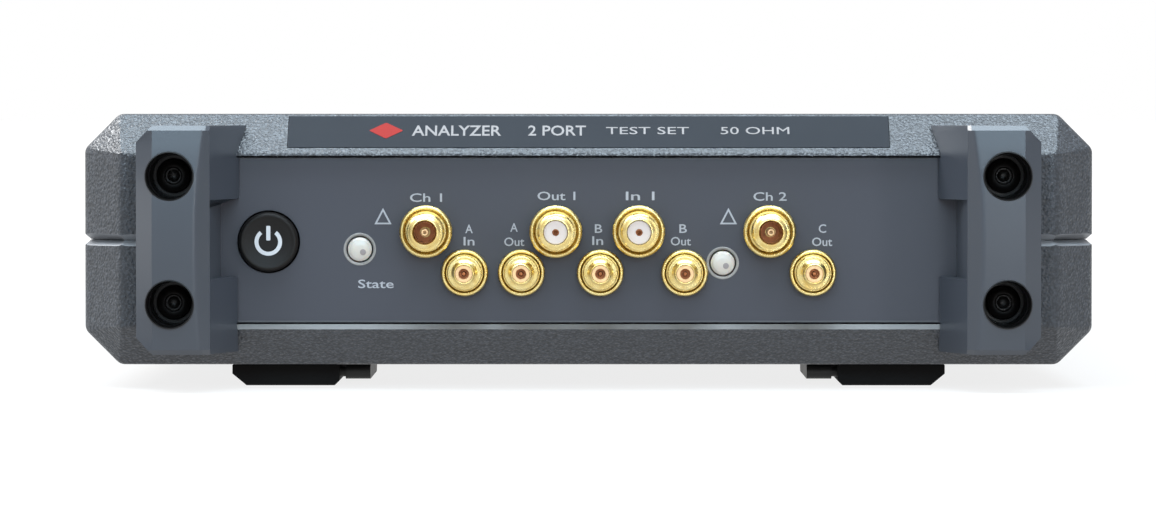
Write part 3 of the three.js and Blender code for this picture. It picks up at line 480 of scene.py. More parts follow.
# black rubber of the recess sleeves, which stand in for the shade inside the recesses
SHADE_SLEEVE_RUBBER = satin("shade_sleeve_rubber", (12, 11, 11), 0.4, grain=0.01, shine=0.3)
BLACK_STEEL = satin("black_oxide", (19, 16, 15), 0.34, mottle=0.15, mottle_size=2, grain=0.002, shine=0.3)
STEEL = satin("zinc_steel", (176, 179, 183), 0.32, metallic=1.0, mottle=0.08, mottle_size=3)
TIN = satin("tin_plate", (168, 170, 172), 0.42, metallic=1.0, mottle=0.1, mottle_size=12)
ALUMINIUM = satin("aluminium", (172, 175, 180), 0.4, metallic=1.0, stretch=(1, 0.1, 1))
COPPER = satin("copper_tube", (198, 140, 92), 0.28, metallic=1.0, mottle_size=4)
BOARD = satin("circuit_board", (34, 92, 60), 0.4, mottle=0.1, mottle_size=5)
GOLD = gold_plate("gold_plate", (228, 210, 150), 0.27)
PTFE = satin("ptfe", (190, 175, 168), 0.45, mottle=0.03, grain=0.001, subsurface_weight=0.1)
# darker, browner copy of the gold plating for the parts deep inside the jacks: painted shade
SHADED_BORE_GOLD = satin("shaded_bore_gold", (150, 90, 52), 0.32, metallic=0.6, mottle=0.2, mottle_size=0.8)
COLLAR = satin("jack_collar", (210, 172, 126), 0.35, metallic=0.4, mottle=0.1, mottle_size=1.5)
LENS = satin("lens", (184, 171, 162), 0.25, mottle=0.03, grain=0.001, subsurface_weight=0.2)
LENS_RING = satin("lens_ring", (120, 118, 116), 0.35, mottle=0.03, grain=0.001)
LENS_SPOT = satin("lens_spot", (122, 114, 114), 0.4, mottle=0.1, grain=0.001)

# ---- covers


def cover_section(side_inset, top_inset, chamfer):
    """Rounded octagon of the covers' cross-section as (x, z)."""
    half_x, half_z = HALF_WIDTH - side_inset, HALF_HEIGHT - top_inset
    corners = []
    for sx, sz, first in ((1, 1, 0), (-1, 1, 1), (-1, -1, 0), (1, -1, 1)):
        pair = [(sx * half_x, sz * (half_z - chamfer)), (sx * (half_x - chamfer), sz * half_z)]
        corners += pair[::-1] if first else pair
    run = CORNER_ROUND * tan(pi / 8) * min(1, chamfer / CORNER_CHAMFER)
    return [(x, MID_Z + z) for x, z in rounded(corners, run, 4)]


def slope_profile(inset, ease, steps=4):
    """(inset, y) down the slope of a cover's end, with both of its edges eased."""
    slope = hypot(LIP_INSET, LIP_DEPTH)
    across, along = LIP_DEPTH / slope, LIP_INSET / slope
    slope_y = SLOPE_Y - inset * (1 - across) / along
    frame_inset = LIP_INSET + inset * (1 - along) / across
    frame_y = FRAME_Y - inset
    run_in = 9
    corners = [(inset, slope_y - run_in), (inset, slope_y), (frame_inset, frame_y),
               (frame_inset + run_in, frame_y)]
    return eased(corners, ease, steps)[1:-1]


def inset_at(profile, y):
    """Inset of a slope profile at a distance from the middle, up to its last point."""
    for (inset, low), (next_inset, high) in zip(profile, profile[1:]):
        if y <= high:
            t = max(0, (y - low) / max(high - low, 1e-9))
            return inset + (next_inset - inset) * t
    return profile[-1][0]


def cover_form(inset):
    """Outer form of the two covers, moved in by inset: a prism whose ends slope to a flat frame."""
    side, top = slope_profile(inset, SIDE_EASE), slope_profile(inset, TOP_EASE)
    points = []
    for y in sorted({round(y, 4) for _, y in side + top}):
        side_inset, top_inset = inset_at(side, y), inset_at(top, y)
        fall = (top_inset - inset) / (LIP_INSET - inset)
        chamfer = (CORNER_CHAMFER - inset * (2 - sqrt(2))) * max(0.001, 1 - fall)
        ring = cover_section(side_inset, top_inset, chamfer)
        points += [(x, end * y, z) for x, z in ring for end in (-1, 1)]
    return hull(points)


def plan_ring(inset, z):
    """Plan outline of the covers near the parting line, moved in by inset."""
    ring = []
    for x in (-1, 1):
        for y in (-1, 1):
            ring.append((x * (HALF_WIDTH - inset), y * (SLOPE_Y - inset / 2), z))
            ring.append((x * (HALF_WIDTH - LIP_INSET - inset / 2), y * (FRAME_Y - inset), z))
    return ring


def groove_cutter(up):
    edge = MID_Z + up * GROOVE_RISE
    far = MID_Z - up
    kept = hull(plan_ring(0, edge) + plan_ring(GROOVE_DEPTH, MID_Z))
    core = hull(plan_ring(GROOVE_DEPTH, MID_Z) + plan_ring(GROOVE_DEPTH, far))
    past = edge + up * 0.001
    slab = box(-FAR_X, FAR_X, -FAR_Y, FAR_Y, min(far, past), max(far, past))
    return cut(slab, kept, core)


def vent_cutters(up):
    slots = []
    half = VENT_WIDTH / 2
    near, far = MID_Z + up * VENT_LOW_RISE, MID_Z + up * VENT_HIGH_RISE
    for i in range(VENT_COUNT):
        y = VENT_START_Y + i * VENT_PITCH
        corners = [(y - half, near), (y + half, near), (y + half, far), (y - half, far)]
        slots.append(prism(rounded(corners, half * 0.98, 4), -HALF_WIDTH - 5, HALF_WIDTH + 5, "x"))
    return group(slots)


def panel_opening():
    """Bar that cuts the opening in both end frames."""
    x, z = PANEL_X + REVEAL, PANEL_RISE + REVEAL
    return box(-x, x, -FACE_Y, FACE_Y, MID_Z - z, MID_Z + z)


def lip_frame(run, lift=0.0):
    """Axes on the top cover's sloped front lip: origin run mm up from its lower edge."""
    slope = hypot(LIP_INSET, LIP_DEPTH)
    up = Vector((0, LIP_DEPTH / slope, LIP_INSET / slope))
    out = Vector((0, -up.z, up.y))
    origin = Vector((0, -FRAME_Y, TOP_Z - LIP_INSET)) + up * run + out * lift
    return origin, Vector((1, 0, 0)), up


def lip_block(start, length, low, high, half_width):
    points = []
    for run in (start, start + length):
        for lift in (low, high):
            origin, right, _ = lip_frame(run, lift)
            points += [origin - right * half_width, origin + right * half_width]
    return hull(points)


LABEL_START, LABEL_LENGTH, LABEL_X = 1.9, 7.8, 52.3
LABEL_GROWTH = 0.22  # the plate nearly fills its pocket
LABEL_POCKET, LABEL_BACK, LABEL_LIFT = -0.6, -0.3, 0.1
SILL_DROP = 1.5  # smooth chamfer below a panel
PARTING = 0.1


def sill_cutters():
    """Chamfers below both panel openings."""
    x, z = PANEL_X + REVEAL, MID_Z - PANEL_RISE - REVEAL
    sills = []
    for end in (-1, 1):
        inner, outer = end * (FRAME_Y - SILL_DROP), end * (FRAME_Y + 1)
        section = [(inner, z), (outer, z - SILL_DROP - 1), (outer, z + 1), (inner, z + 1)]
        sills.append(prism(section, -x, x, "x"))
    return sills


def is_parting(edge):
    return all(abs(vert.co.z - MID_Z) < PARTING for vert in edge.verts)


def is_groove(face):
    """True for the flanks of the parting groove, which carry a painted highlight."""
    return abs(face.center.z - MID_Z) < GROOVE_RISE and 0.2 < abs(face.normal.z) < 0.95


def is_sill(face):
    """True for the smooth chamfers below the panels, which carry a painted highlight."""
    drop = MID_Z - face.center.z
    near = abs(drop - PANEL_RISE - REVEAL) < SILL_DROP + 0.1
    within = abs(face.center.x) < PANEL_X + 1
    at_end = abs(face.center.y) > FRAME_Y - SILL_DROP - 0.1
    return near and within and at_end and 0.3 < face.normal.z < 0.93 and abs(face.normal.x) < 0.1


def make_cover(name, up):
    other = sorted((MID_Z + up * PARTING / 2, MID_Z - up * 2 * TOP_Z))
    other_half = box(-FAR_X, FAR_X, -FAR_Y, FAR_Y, *other)
    tools = [cover_form(WALL), other_half, panel_opening(), groove_cutter(up), vent_cutters(up)]
    if up > 0:
        start, length = LABEL_START - GAP, LABEL_LENGTH + 2 * GAP
        tools.append(lip_block(start, length, LABEL_POCKET, 3, LABEL_X + GAP))
    else:
        tools += sill_cutters()
    shell = soften(cut(cover_form(0), *tools), EDGE, keep=is_parting)
    # groove flanks and sills get lighter finishes: painted highlight; the sills are also smoother
    return piece(shell, name + "_shell", COVER, [name],
                 accents=[(GROOVE_FLANK_HIGHLIGHT, is_groove), (SILL_SMOOTH_HIGHLIGHT, is_sill)])


make_cover("top_cover", 1)
make_cover("bottom_cover", -1)
label = lip_block(LABEL_START - LABEL_GROWTH, LABEL_LENGTH + 2 * LABEL_GROWTH, LABEL_BACK, LABEL_LIFT,
                  LABEL_X + LABEL_GROWTH)
piece(soften(label, 0.1), "header_plate", LABEL, ["header_label"])

# ---- bumpers


def bumper_ring(z):
    """Cross-section of the left front bumper at height z."""
    rise = (z - BUMPER_Z) / BUMPER_RISE
    from_end = BUMPER_RISE - abs(z - BUMPER_Z)
    outer = OUTER_X - max(0, BEVEL - from_end)
    face_outer = OUTER_X - BEVEL
    face = -FACE_Y + max(0, END_BEVEL - from_end) + CROWN * rise ** 2
    scallop = 0.9 + 1.5 * cos(rise * pi / 2) + 0.35 * (1 - rise) * abs(rise)
    back = -SLOPE_Y + 1
    flare = BUMPER_FLARE * (back + FRAME_Y) * min(1, max(0, 2 * rise))
    edge = eased([(-face_outer, face), (-WALL_FRONT_X - scallop, face),
                  (-WALL_FRONT_X, face + scallop)], BUMPER_EASE)
    return [
        (-outer, back, z), (-outer, max(face, -FACE_Y + outer - face_outer), z),
        *[(x, y, z) for x, y in edge],
        (-WALL_ROOT_X, -FRAME_Y, z), (-WALL_ROOT_X + flare, back, z),
    ]


def is_notch(edge):
    """True for the edges of the notch's floor and ceiling."""
    ends = [vert.co for vert in edge.verts]
    inside = all(end.x > -WALL_FRONT_X - 0.5 for end in ends)
    return inside and any(all(abs(end.z - z) < 0.01 for end in ends) for z in (NOTCH_LOW_Z, NOTCH_HIGH_Z))


def bumper_block():
    low, high = BUMPER_Z - BUMPER_RISE, BUMPER_Z + BUMPER_RISE
    first, last = low + BEVEL, high - BEVEL
    heights = [first + (last - first) * i / (SECTIONS - 1) for i in range(SECTIONS)]
    heights = [low, low + END_BEVEL, *heights, high - END_BEVEL, high]
    plug = box(-PANEL_X, PANEL_X, -FACE_Y, -PANEL_Y - GAP,
               MID_Z - PANEL_RISE, MID_Z + PANEL_RISE)
    near, far, clear = -FACE_Y + 2.4, -FRAME_Y + 2, -50
    plan = [(-WALL_FRONT_X, near), (-NOTCH_ROOT_X, far), (clear, far), (clear, near)]
    notch = prism(plan, NOTCH_LOW_Z, NOTCH_HIGH_Z, "z")
    tools = [cut(cover_form(-GAP), plug), notch]
    for side in (-1, 1):
        z = BUMPER_Z + side * SCREW_RISE
        tools.append(prism(circle(RECESS_RADIUS, -SCREW_X, z, 56), -FACE_Y - 1, SEAT_Y))
        tools.append(prism(circle(SCREW_HOLE, -SCREW_X, z, 24), SEAT_Y - 1, far))
    return soften(cut(loft([bumper_ring(z) for z in heights]), *tools), 0.22, keep=is_notch)


SCREW_HEAD = 2.8


def bumper_screw(x, z):
    """Socket-head screw in its recess, head towards the front."""
    head_front = SEAT_Y - GAP - SCREW_HEAD
    centre = (x, head_front, z)
    back = (0, 1, 0)
    head = eased([(0, 0), (1.95, 0), (3.0, 0.75), (3.05, 2.0), (1.9, 2.0)], 0.45, 4)
    washer = eased([(1.9, 2.05), (3.6, 2.05), (3.65, 2.75), (1.75, 2.75)], 0.1, 2)
    screw = turned([*head, *washer, (1.75, 10.8), (0, 10.8)], centre, back, 48)
    socket = prism(circle(1.3, x, z, 6), head_front - 1, head_front + 1.7)
    rim = turned([(0, -1), (1.62, -1), (1.62, 0.12), (1.3, 0.4), (0, 0.4)], centre, back, 48)
    point = turned([(0, 1), (1.1, 1), (1.1, 1.7), (0, 2.5)], centre, back, 24)
    return soften(cut(screw, socket, rim, point), 0.06)


def ferrule(x, z):
    """Black sleeve lining a screw recess, darker than the recess wall: it stands in for the shade down the
    recess, a painted shade.
    """
    outer, inner = RECESS_RADIUS - 0.02, RECESS_RADIUS - 0.28
    depth = SEAT_Y + FACE_Y
    profile = [(outer, 0.25), (inner + 0.1, 0.2), (inner, 0.4), (inner, 5.2), (inner - 0.22, 5.4),
               (inner - 0.22, depth - 0.05), (outer, depth - 0.05)]
    return turned(profile, (x, -FACE_Y, z), (0, 1, 0), 56)


at_corners(bumper_block(), "{}_{}_bumper_block", BUMPER, "{}_bumper_{}")
for level, up in (("upper", 1), ("lower", -1)):
    z = BUMPER_Z + up * SCREW_RISE
    at_corners(bumper_screw(-SCREW_X, z), "{}_{}_" + level + "_screw", BLACK_STEEL,
               "{}_bumper_screw_{}_" + level)
    at_corners(ferrule(-SCREW_X, z), "{}_{}_" + level + "_ferrule", SHADE_SLEEVE_RUBBER)

# ---- front panel

BUTTON = middle("power_button")
PORTS = ["port_1_connector", "port_2_connector"]
LARGE_JACKS = ["source_out_jack", "receiver_in_jack"]
SMALL_ROW = ["reference_in_jack", "reference_out_jack", "trigger_in_jack", "trigger_out_jack",
             "trigger_ready_jack"]
LIGHTS = ["status_light_pipe", "ready_light_pipe"]


def panel_plate(sign):
    """Plate of a panel with a chamfered rim, outer face towards sign * Y."""
    points = []
    for depth, inset in ((0, PANEL_CHAMFER), (PANEL_CHAMFER, 0), (PANEL_DEPTH, 0)):
        x, y, z = PANEL_X - inset, sign * (PANEL_Y - depth), PANEL_RISE - inset
        points += [(-x, y, MID_Z - z), (-x, y, MID_Z + z), (x, y, MID_Z - z), (x, y, MID_Z + z)]
    return hull(points)


def is_rim(face):
    """True for the chamfer round a panel."""
    rim = max(abs(face.center.x) - PANEL_X, abs(face.center.z - MID_Z) - PANEL_RISE)
    return rim > -PANEL_CHAMFER - 0.05 and 0.2 < abs(face.normal.y) < 0.97


def through(radius, node):
    """Cutter for a round hole in the front panel, on a node's axis."""
    centre = middle(node)
    return prism(circle(radius, centre.x, centre.z), -PANEL_Y - 3, -PANEL_Y + 6)


HOLES = ((5.5, ["power_button"]), (2.75, LIGHTS), (3.475, PORTS + LARGE_JACKS), (2.9, SMALL_ROW))
holes = [through(radius, node) for radius, nodes in HOLES for node in nodes]
panel = soften(cut(panel_plate(-1), *holes), 0.1, angle=50)
# the rim gets the lighter colour, a painted highlight
RIM = [(PANEL_RIM_HIGHLIGHT, is_rim)]
piece(panel, "front_panel_plate", PANEL, ["front_panel"], accents=RIM)

FORWARD = (0, -1, 0)


def on_panel(node):
    """Point on the panel's face in front of a node's axis."""
    centre = middle(node)
    return Vector((centre.x, -PANEL_Y, centre.z))


def turned_part(node, suffix, outline, sides=72, easing=0.12, material=GOLD, stands_for=(),
                body="chassis"):
    """Turned part: outline is (radius, distance out of the panel's face)."""
    made = turned(eased(outline, easing), on_panel(node), FORWARD, sides)
    piece(made, node + suffix, material, stands_for, body)


THREAD_DEPTH, THREAD_PITCH, THREAD_STEPS = 0.32, 0.706, 6
THREAD_CREST = 3.175
TINY = 0.01


LARGE_NUT = [(3.2, 0.02), (4.55, 0.02), (4.6, 0.7), (4.35, 0.75), (4.35, 0.95), (4.6, 1.0), (4.6, 2.2),
             (4.3, 2.55), (3.95, 2.55), (3.6, 1.8), (3.2, 1.8)]


def threaded_jack(node, end, tip):
    """Nut and threaded tube: tip is the outline from the end of the thread round the mouth to the bore."""
    turned_part(node, "_nut", LARGE_NUT)
    start, first = 0.1, 0.1 + TINY
    count = round((end - first) / THREAD_PITCH * THREAD_STEPS)
    rows = [(THREAD_CREST, first + (end - first) * i / count) for i in range(count + 1)]

    def wave(angle, distance):
        if not start < distance <= end:
            return 0
        phase = (distance / THREAD_PITCH + angle / (2 * pi)) % 1
        return -THREAD_DEPTH * (1 - abs(2 * phase - 1))

    outline = [(THREAD_CREST, start), *rows, (THREAD_CREST - 0.34, end + TINY), *tip]
    piece(turned(outline, on_panel(node), FORWARD, 48, wave), node + "_barrel", GOLD, [node])


def make_port(node):
    tip = [(2.8, 9.35), (2.5, 9.6), (2.15, 9.6), (1.9, 9.2), (1.85, 5.0), (0.76, 5.0), (0.76, 3), (3, 3),
           (3, 0)]
    threaded_jack(node, 9.0, tip)
    lining = [(0.9, 5.05), (1.8, 5.05), (1.82, 9.1), (1.76, 9.1), (1.72, 5.25), (0.9, 5.25)]
    turned_part(node, "_bore", lining, 48, 0.02, SHADED_BORE_GOLD)
    contact = [(0, 5.1), (0.76, 5.1), (0.76, 8.3), (0.55, 8.7), (0.3, 8.7), (0.3, 7.6), (0, 7.6)]
    turned_part(node, "_contact", contact, 32, 0.08, COLLAR)


def make_large_jack(node):
    tip = [(2.8, 9.3), (2.5, 9.5), (2.2, 9.5), (2.08, 9.1), (2.08, 4), (3, 4), (3, 0)]
    threaded_jack(node, 8.9, tip)
    insulator = [(0.62, 4.2), (2.05, 4.2), (2.05, 9.0), (0.62, 9.0)]
    turned_part(node, "_insulator", insulator, 48, 0.1, PTFE)
    contact = [(0, 4.3), (0.58, 4.3), (0.58, 8.85), (0.42, 8.9), (0.36, 8.6), (0.36, 7), (0, 7)]
    turned_part(node, "_contact", contact, 32, 0.03, SHADED_BORE_GOLD)


def make_small_jack(node):
    nut = [(2.65, 0.02), (4.05, 0.02), (4.1, 0.6), (4.1, 1.6), (3.85, 1.95), (3.5, 1.95), (3.25, 1.5),
           (2.65, 1.5)]
    turned_part(node, "_nut", nut)
    body = [(1.52, 3), (1.52, 8.1), (1.56, 8.35), (1.7, 8.35), (1.87, 8.1), (1.87, 6.6), (1.72, 6.4),
            (1.72, 5.6), (1.87, 5.4), (1.87, 3.5), (2.3, 3.1), (2.85, 3.1), (3.0, 2.9), (3.0, 1.7),
            (2.5, 1.6), (2.5, 0), (1.2, 0), (1.2, 3)]
    turned_part(node, "_body", body, 64, 0.08, stands_for=[node])
    contact = [(0, 3), (0.42, 3), (0.42, 7.3), (0.3, 7.6), (0, 7.6)]
    turned_part(node, "_contact", contact, 24, 0.05, SHADED_BORE_GOLD)
    well = [(0.46, 6.6), (0.9, 6.6), (0.9, 8.0), (0.84, 8.0), (0.82, 6.9), (0.46, 6.9)]
    turned_part(node, "_bore", well, 32, 0.01, SHADED_BORE_GOLD)
    collar = [(0.92, 3.1), (1.5, 3.1), (1.5, 8.15), (0.92, 8.15)]
    turned_part(node, "_collar", collar, 48, 0.08, COLLAR)


for node in PORTS:
    make_port(node)
for node in LARGE_JACKS:
    make_large_jack(node)
for node in SMALL_ROW:
    make_small_jack(node)

# power button, with a standby symbol that moves with it
dish = [(0, 1.12), (2.4, 1.2), (4.1, 1.46), (4.55, 1.6), (4.85, 1.52), (5.15, 1.1), (5.2, 0.6), (5.2, -3),
        (6.2, -3), (6.2, -4), (1.8, -4), (1.8, -6.5), (0, -6.5)]
turned_part("power_button", "_cap", dish, 96, 0.2, BUTTON_FACE, ["power_button"],
            "power_button")


def band(inner, outer, start, end, steps=40):
    """Flat closed arc as (u, v), angles in degrees."""
    angles = [radians(start + (end - start) * i / steps) for i in range(steps + 1)]
    outside = [(outer * cos(a), outer * sin(a)) for a in angles]
    inside = [(inner * cos(a), inner * sin(a)) for a in reversed(angles)]
    return outside + inside


def shifted(outline, u, v):
    return [(a + u, b + v) for a, b in outline]


symbol_front = -PANEL_Y - 1.3
arc = band(1.72, 2.4, 128, 412)
bar = rounded([(-0.36, 0.25), (0.36, 0.25), (0.36, 2.8), (-0.36, 2.8)], 0.2)
symbol = [prism(shifted(outline, BUTTON.x, BUTTON.z), symbol_front, symbol_front + depth)
          for outline, depth in ((arc, 0.18), (bar, 0.25))]
piece(group(symbol), "power_button_symbol", WHITE_PRINT, body="power_button")

for node in LIGHTS:
    lens = [(0, 0.5), (0.9, 0.45), (1.6, 0.25), (2.12, -0.15), (2.15, -3.2), (3.2, -3.2), (3.2, -4),
            (1.2, -4), (1.2, -9), (0, -9)]
    turned_part(node, "_lens", lens, 48, 0.15, LENS, [node])
    ring = [(2.36, -1.5), (2.36, -0.1), (2.6, 0.1), (2.78, 0.1), (2.86, 0.03), (2.74, -0.02), (2.74, -1.5)]
    turned_part(node, "_ring", ring, 48, 0.02, LENS_RING)
    spot = on_panel(node) + Vector((0.55, 0, -0.5))
    chip = turned([(0, 0.56), (0.52, 0.5), (0.56, 0.3), (0, 0.3)], spot, FORWARD, 24)
    piece(chip, node + "_chip", LENS_SPOT)

# ---- lettering


def plane(origin, right, up):
    """Matrix that lays flat work on a surface, its own z pointing out."""
    out = right.cross(up)
    matrix = Matrix((right, up, out)).transposed().to_4x4()
    matrix.translation = origin
    return matrix


def lettering(name, words, width, height, at, material, weight=0.0, thickness=0.06):
    """Words fitted to a width and height in millimetres, centred on the matrix at."""
    curve = bpy.data.curves.new(name, "FONT")
    curve.body = words
    curve.extrude = thickness
    curve.offset = weight
    curve.resolution_u = 3
    source = placed(name + "_source", curve)
    mesh = evaluated(source)
    discard(source)
    xs, ys, _ = zip(*[v.co for v in mesh.vertices])
    low, high = Vector((min(xs), min(ys), 0)), Vector((max(xs), max(ys), 0))
    size = high - low
    fit = Matrix.Diagonal((width / size.x, height / size.y, 1, 1))
    mesh.transform(at @ fit @ Matrix.Translation(-(low + high) / 2))
    return piece(placed(name, mesh), name, material)


def on_face(x, z, end=-1):
    """Matrix on the front panel (end -1) or the rear panel (end 1)."""
    return plane(Vector((x, end * PANEL_Y, z)), Vector((-end, 0, 0)), Vector((0, 0, 1)))


CAP = 1.5  # height of the legends' letters
FATTEN = 0.008  # how much their strokes are fattened
LEGENDS = {  # words, x, z and width
    "channel_1": ("Ch 1", -28.35, 33.3, 5.6), "channel_2": ("Ch 2", 31.65, 33.5, 5.8),
    "output": ("Out 1", -5.6, 33.6, 6.6), "input": ("In 1", 9.0, 33.6, 5.0),
    "a_in": ("A", -20.85, 27.85, 1.3), "a_in_2": ("In", -20.85, 25.7, 1.9),
    "a_out": ("A", -13.0, 28.1, 1.3), "a_out_2": ("Out", -12.95, 25.6, 3.5),
    "b_in": ("B", 1.75, 27.9, 1.3), "b_in_2": ("In", 1.6, 25.8, 1.9),
    "b_out": ("B", 16.5, 27.9, 1.3), "b_out_2": ("Out", 16.1, 25.7, 3.5),
    "c_out": ("C", 40.8, 27.9, 1.3), "c_out_2": ("Out", 40.75, 25.6, 3.5),
    "state": ("State", -37.1, 18.25, 6.2),
}
for name, (words, x, z, width) in LEGENDS.items():
    lettering("legend_" + name, words, width, CAP, on_face(x, z), GREY_PRINT, FATTEN)


def triangle_outline(name, x, z):
    outer = [(-1.5, 0), (1.5, 0), (0, 2.85)]
    inner = [(-1.02, 0.28), (1.02, 0.28), (0, 2.25)]
    made = prism(shifted(outer, x, z), -PANEL_Y - PRINT_LIFT, -PANEL_Y + SINK)
    hollow = prism(shifted(inner, x, z), -PANEL_Y - 1, -PANEL_Y + 1)
    return piece(cut(made, hollow), name, GREY_PRINT)


triangle_outline("mark_channel_1", -35.85, 28.65)
triangle_outline("mark_channel_2", 24.4, 28.65)

HEADER = [  # words, x, width, height and fattening
    ("ANALYZER", -23.07, 15.6, 2.7, 0.012), ("2 PORT", -5.5, 10.1, 2.7, 0.012),
    ("TEST SET", 10.3, 14.5, 1.9, 0.0), ("50 OHM", 29.1, 12.0, 1.9, 0.0),
]
origin, right, up = lip_frame(LABEL_START + LABEL_LENGTH / 2 + 0.25, LABEL_LIFT)
for i, (words, x, width, height, weight) in enumerate(HEADER, 1):
    at = plane(origin + right * x, right, up)
    lettering(f"header_words_{i}", words, width, height, at, HEADER_PRINT, weight, 0.04)
lozenge = [(-3.0, 0), (0, 2.1), (3.0, 0), (0, -2.1)]
mark = prism(rounded(lozenge, 0.3), -0.04, 0.05, "z")
mark.data.transform(plane(origin + right * -35.4, right, up))
piece(mark, "header_mark", RED_PRINT)

# ---- feet and tilt legs

FOOT_LOW, FOOT_HIGH = span("front_foot_left")
LEG_HIGH = span("tilt_leg_left")[1]
COVER_SCREW = middle("cover_screw_front_left")
PIVOT_Y, PIVOT_Z = -133.0, 2.3  # hinge of both tilt legs


def foot_block():
    """Front left foot, with its holes and grip grooves."""
    section = [(FOOT_LOW.x, FOOT_HIGH.z), (FOOT_LOW.x, 2.05), (FOOT_LOW.x + 2.5, 0),
               (FOOT_HIGH.x - 0.8, 0), (FOOT_HIGH.x, 0.8), (FOOT_HIGH.x, FOOT_HIGH.z)]
    made = prism(section, FOOT_LOW.y, FOOT_HIGH.y)
    holes = [prism(circle(3.3, COVER_SCREW.x, COVER_SCREW.y), -1, 2.2, "z"),
             prism(circle(1.8, COVER_SCREW.x, COVER_SCREW.y, 24), 1, 5, "z")]
    for i in range(5):
        y = FOOT_HIGH.y - 5 - 2.2 * i
        holes.append(box(FOOT_LOW.x + 4, FOOT_HIGH.x - 2.4, y - 0.5, y + 0.5, -1, 0.4))
    holes.append(prism(circle(1.0, PIVOT_Y, PIVOT_Z, 24), FOOT_HIGH.x - 3, FOOT_HIGH.x + 1, "x"))
    return soften(cut(made, *holes), 0.25)


def cover_screw():
    """Long screw up through a foot, with a hexagon socket."""
    profile = eased([(0, 0.6), (2.55, 0.6), (2.9, 1.0), (2.9, 1.9), (1.5, 1.9), (1.5, 6), (0, 6)], 0.2)
    made = turned(profile, (COVER_SCREW.x, COVER_SCREW.y, 0), (0, 0, 1), 40)
    socket = prism(circle(1.25, COVER_SCREW.x, COVER_SCREW.y, 6), 0, 1.4, "z")
    return soften(cut(made, socket), 0.05)


at_corners(foot_block(), "{}_{}_foot_block", RUBBER, "{}_foot_{}")
at_corners(cover_screw(), "{}_{}_cover_screw", STEEL, "cover_screw_{}_{}")


def tilt_leg():
    """Flat bar with round ends, a trunnion and grip ridges near its free end."""
    half = 1.3
    y1, z = LEG_HIGH.y - half, PIVOT_Z
    section = []
    for y, start in ((PIVOT_Y, 90), (y1, -90)):
        for i in range(13):
            a = radians(start + 15 * i)
            section.append((y + half * cos(a), z + half * sin(a)))
    bar = prism(section, -43.0, -38.6, "x")
    trunnion = prism(circle(0.9, PIVOT_Y, z, 24), -46.7, -42, "x")
    dents = [prism(circle(0.45, y1 - 1.5 - 1.6 * i, z - half - 0.15, 16), -44, -37, "x") for i in range(4)]
    return soften(cut(join(bar, trunnion), group(dents)), 0.2)


leg = tilt_leg()
for side, sign_x in SIDES:
    piece(mirrored(leg, sign_x, 1), f"{side}_leg_bar", BLACK_PLASTIC, [f"tilt_leg_{side}"],
          f"tilt_leg_{side}")
discard(leg)

# ---- rear panel

REAR = (0, 1, 0)
GRILLE_SLOT, GRILLE_PITCH, GRILLE_RADIUS, GRILLE_BAR = 2.2, 4.0, 11.0, 1.2
USB, DC, GROUND = middle("usb_c_receptacle"), middle("dc_power_jack"), middle("ground_terminal")
USB_X, USB_Z = 5.2, 2.1  # half width and half height
DC_Z, DC_OPENING = 21.7, 4.6
GROUND_OPENING = 2.3
LOCK_LOW, LOCK_HIGH = (4.5, 16.5), (11.5, 19.5)


def rounded_box(low, high, radius, y0, y1, steps=6):
    """Bar along Y whose (x, z) outline has round corners."""
    corners = [(low[0], low[1]), (high[0], low[1]), (high[0], high[1]), (low[0], high[1])]
    return prism(rounded(corners, radius, steps), y0, y1)


def rear_slot(low, high, radius, steps):
    return rounded_box(low, high, radius, PANEL_Y - 6, PANEL_Y + 6, steps)


def rear_hole(radius, x, z, sides=48):
    return prism(circle(radius, x, z, sides), PANEL_Y - 6, PANEL_Y + 6)


def grille_slots(x):
    """Rows of slots that fill a circle in front of a fan, each split by a bar."""
    slots = []
    for k in range(-2, 3):
        half = sqrt(GRILLE_RADIUS ** 2 - (abs(k) * GRILLE_PITCH + GRILLE_SLOT / 2) ** 2)
        middle_z = MID_Z + k * GRILLE_PITCH
        z0, z1 = middle_z - GRILLE_SLOT / 2, middle_z + GRILLE_SLOT / 2
        for x0, x1 in ((x - half, x - GRILLE_BAR / 2), (x + GRILLE_BAR / 2, x + half)):
            slots.append(rear_slot((x0, z0), (x1, z1), 0.9, 4))
    return slots


back_holes = [
    *[group(grille_slots(middle(f"fan_frame_{i}").x)) for i in (1, 2)],
    rear_slot((USB.x - USB_X, USB.z - USB_Z), (USB.x + USB_X, USB.z + USB_Z), 1.9, 6),
    rear_hole(DC_OPENING, DC.x, DC_Z), rear_hole(GROUND_OPENING, GROUND.x, GROUND.z, 32),
    rear_slot(LOCK_LOW, LOCK_HIGH, 0.9, 4),
]
rear_plate = soften(cut(panel_plate(1), *back_holes), 0.14, angle=50)
piece(rear_plate, "rear_panel_plate", PANEL, ["rear_panel"], accents=RIM)

# ---- rear connectors and fans


def rear_turned(outline, x, z, sides=64, easing=0.12, wave=None):
    """Solid of revolution on the rear panel: outline is (radius, distance out of its face)."""
    return turned(eased(outline, easing), (x, PANEL_Y, z), REAR, sides, wave)


NUT_RADIUS, NUT_STEP, KNURL_START, KNURL_END = 3.85, 0.5, 1.5, 5.6


def knurl(angle, distance):
    """Ripple of the thumb nut's grip, between its two plain ends."""
    return 0.14 * cos(32 * angle) if KNURL_START < distance < KNURL_END else 0


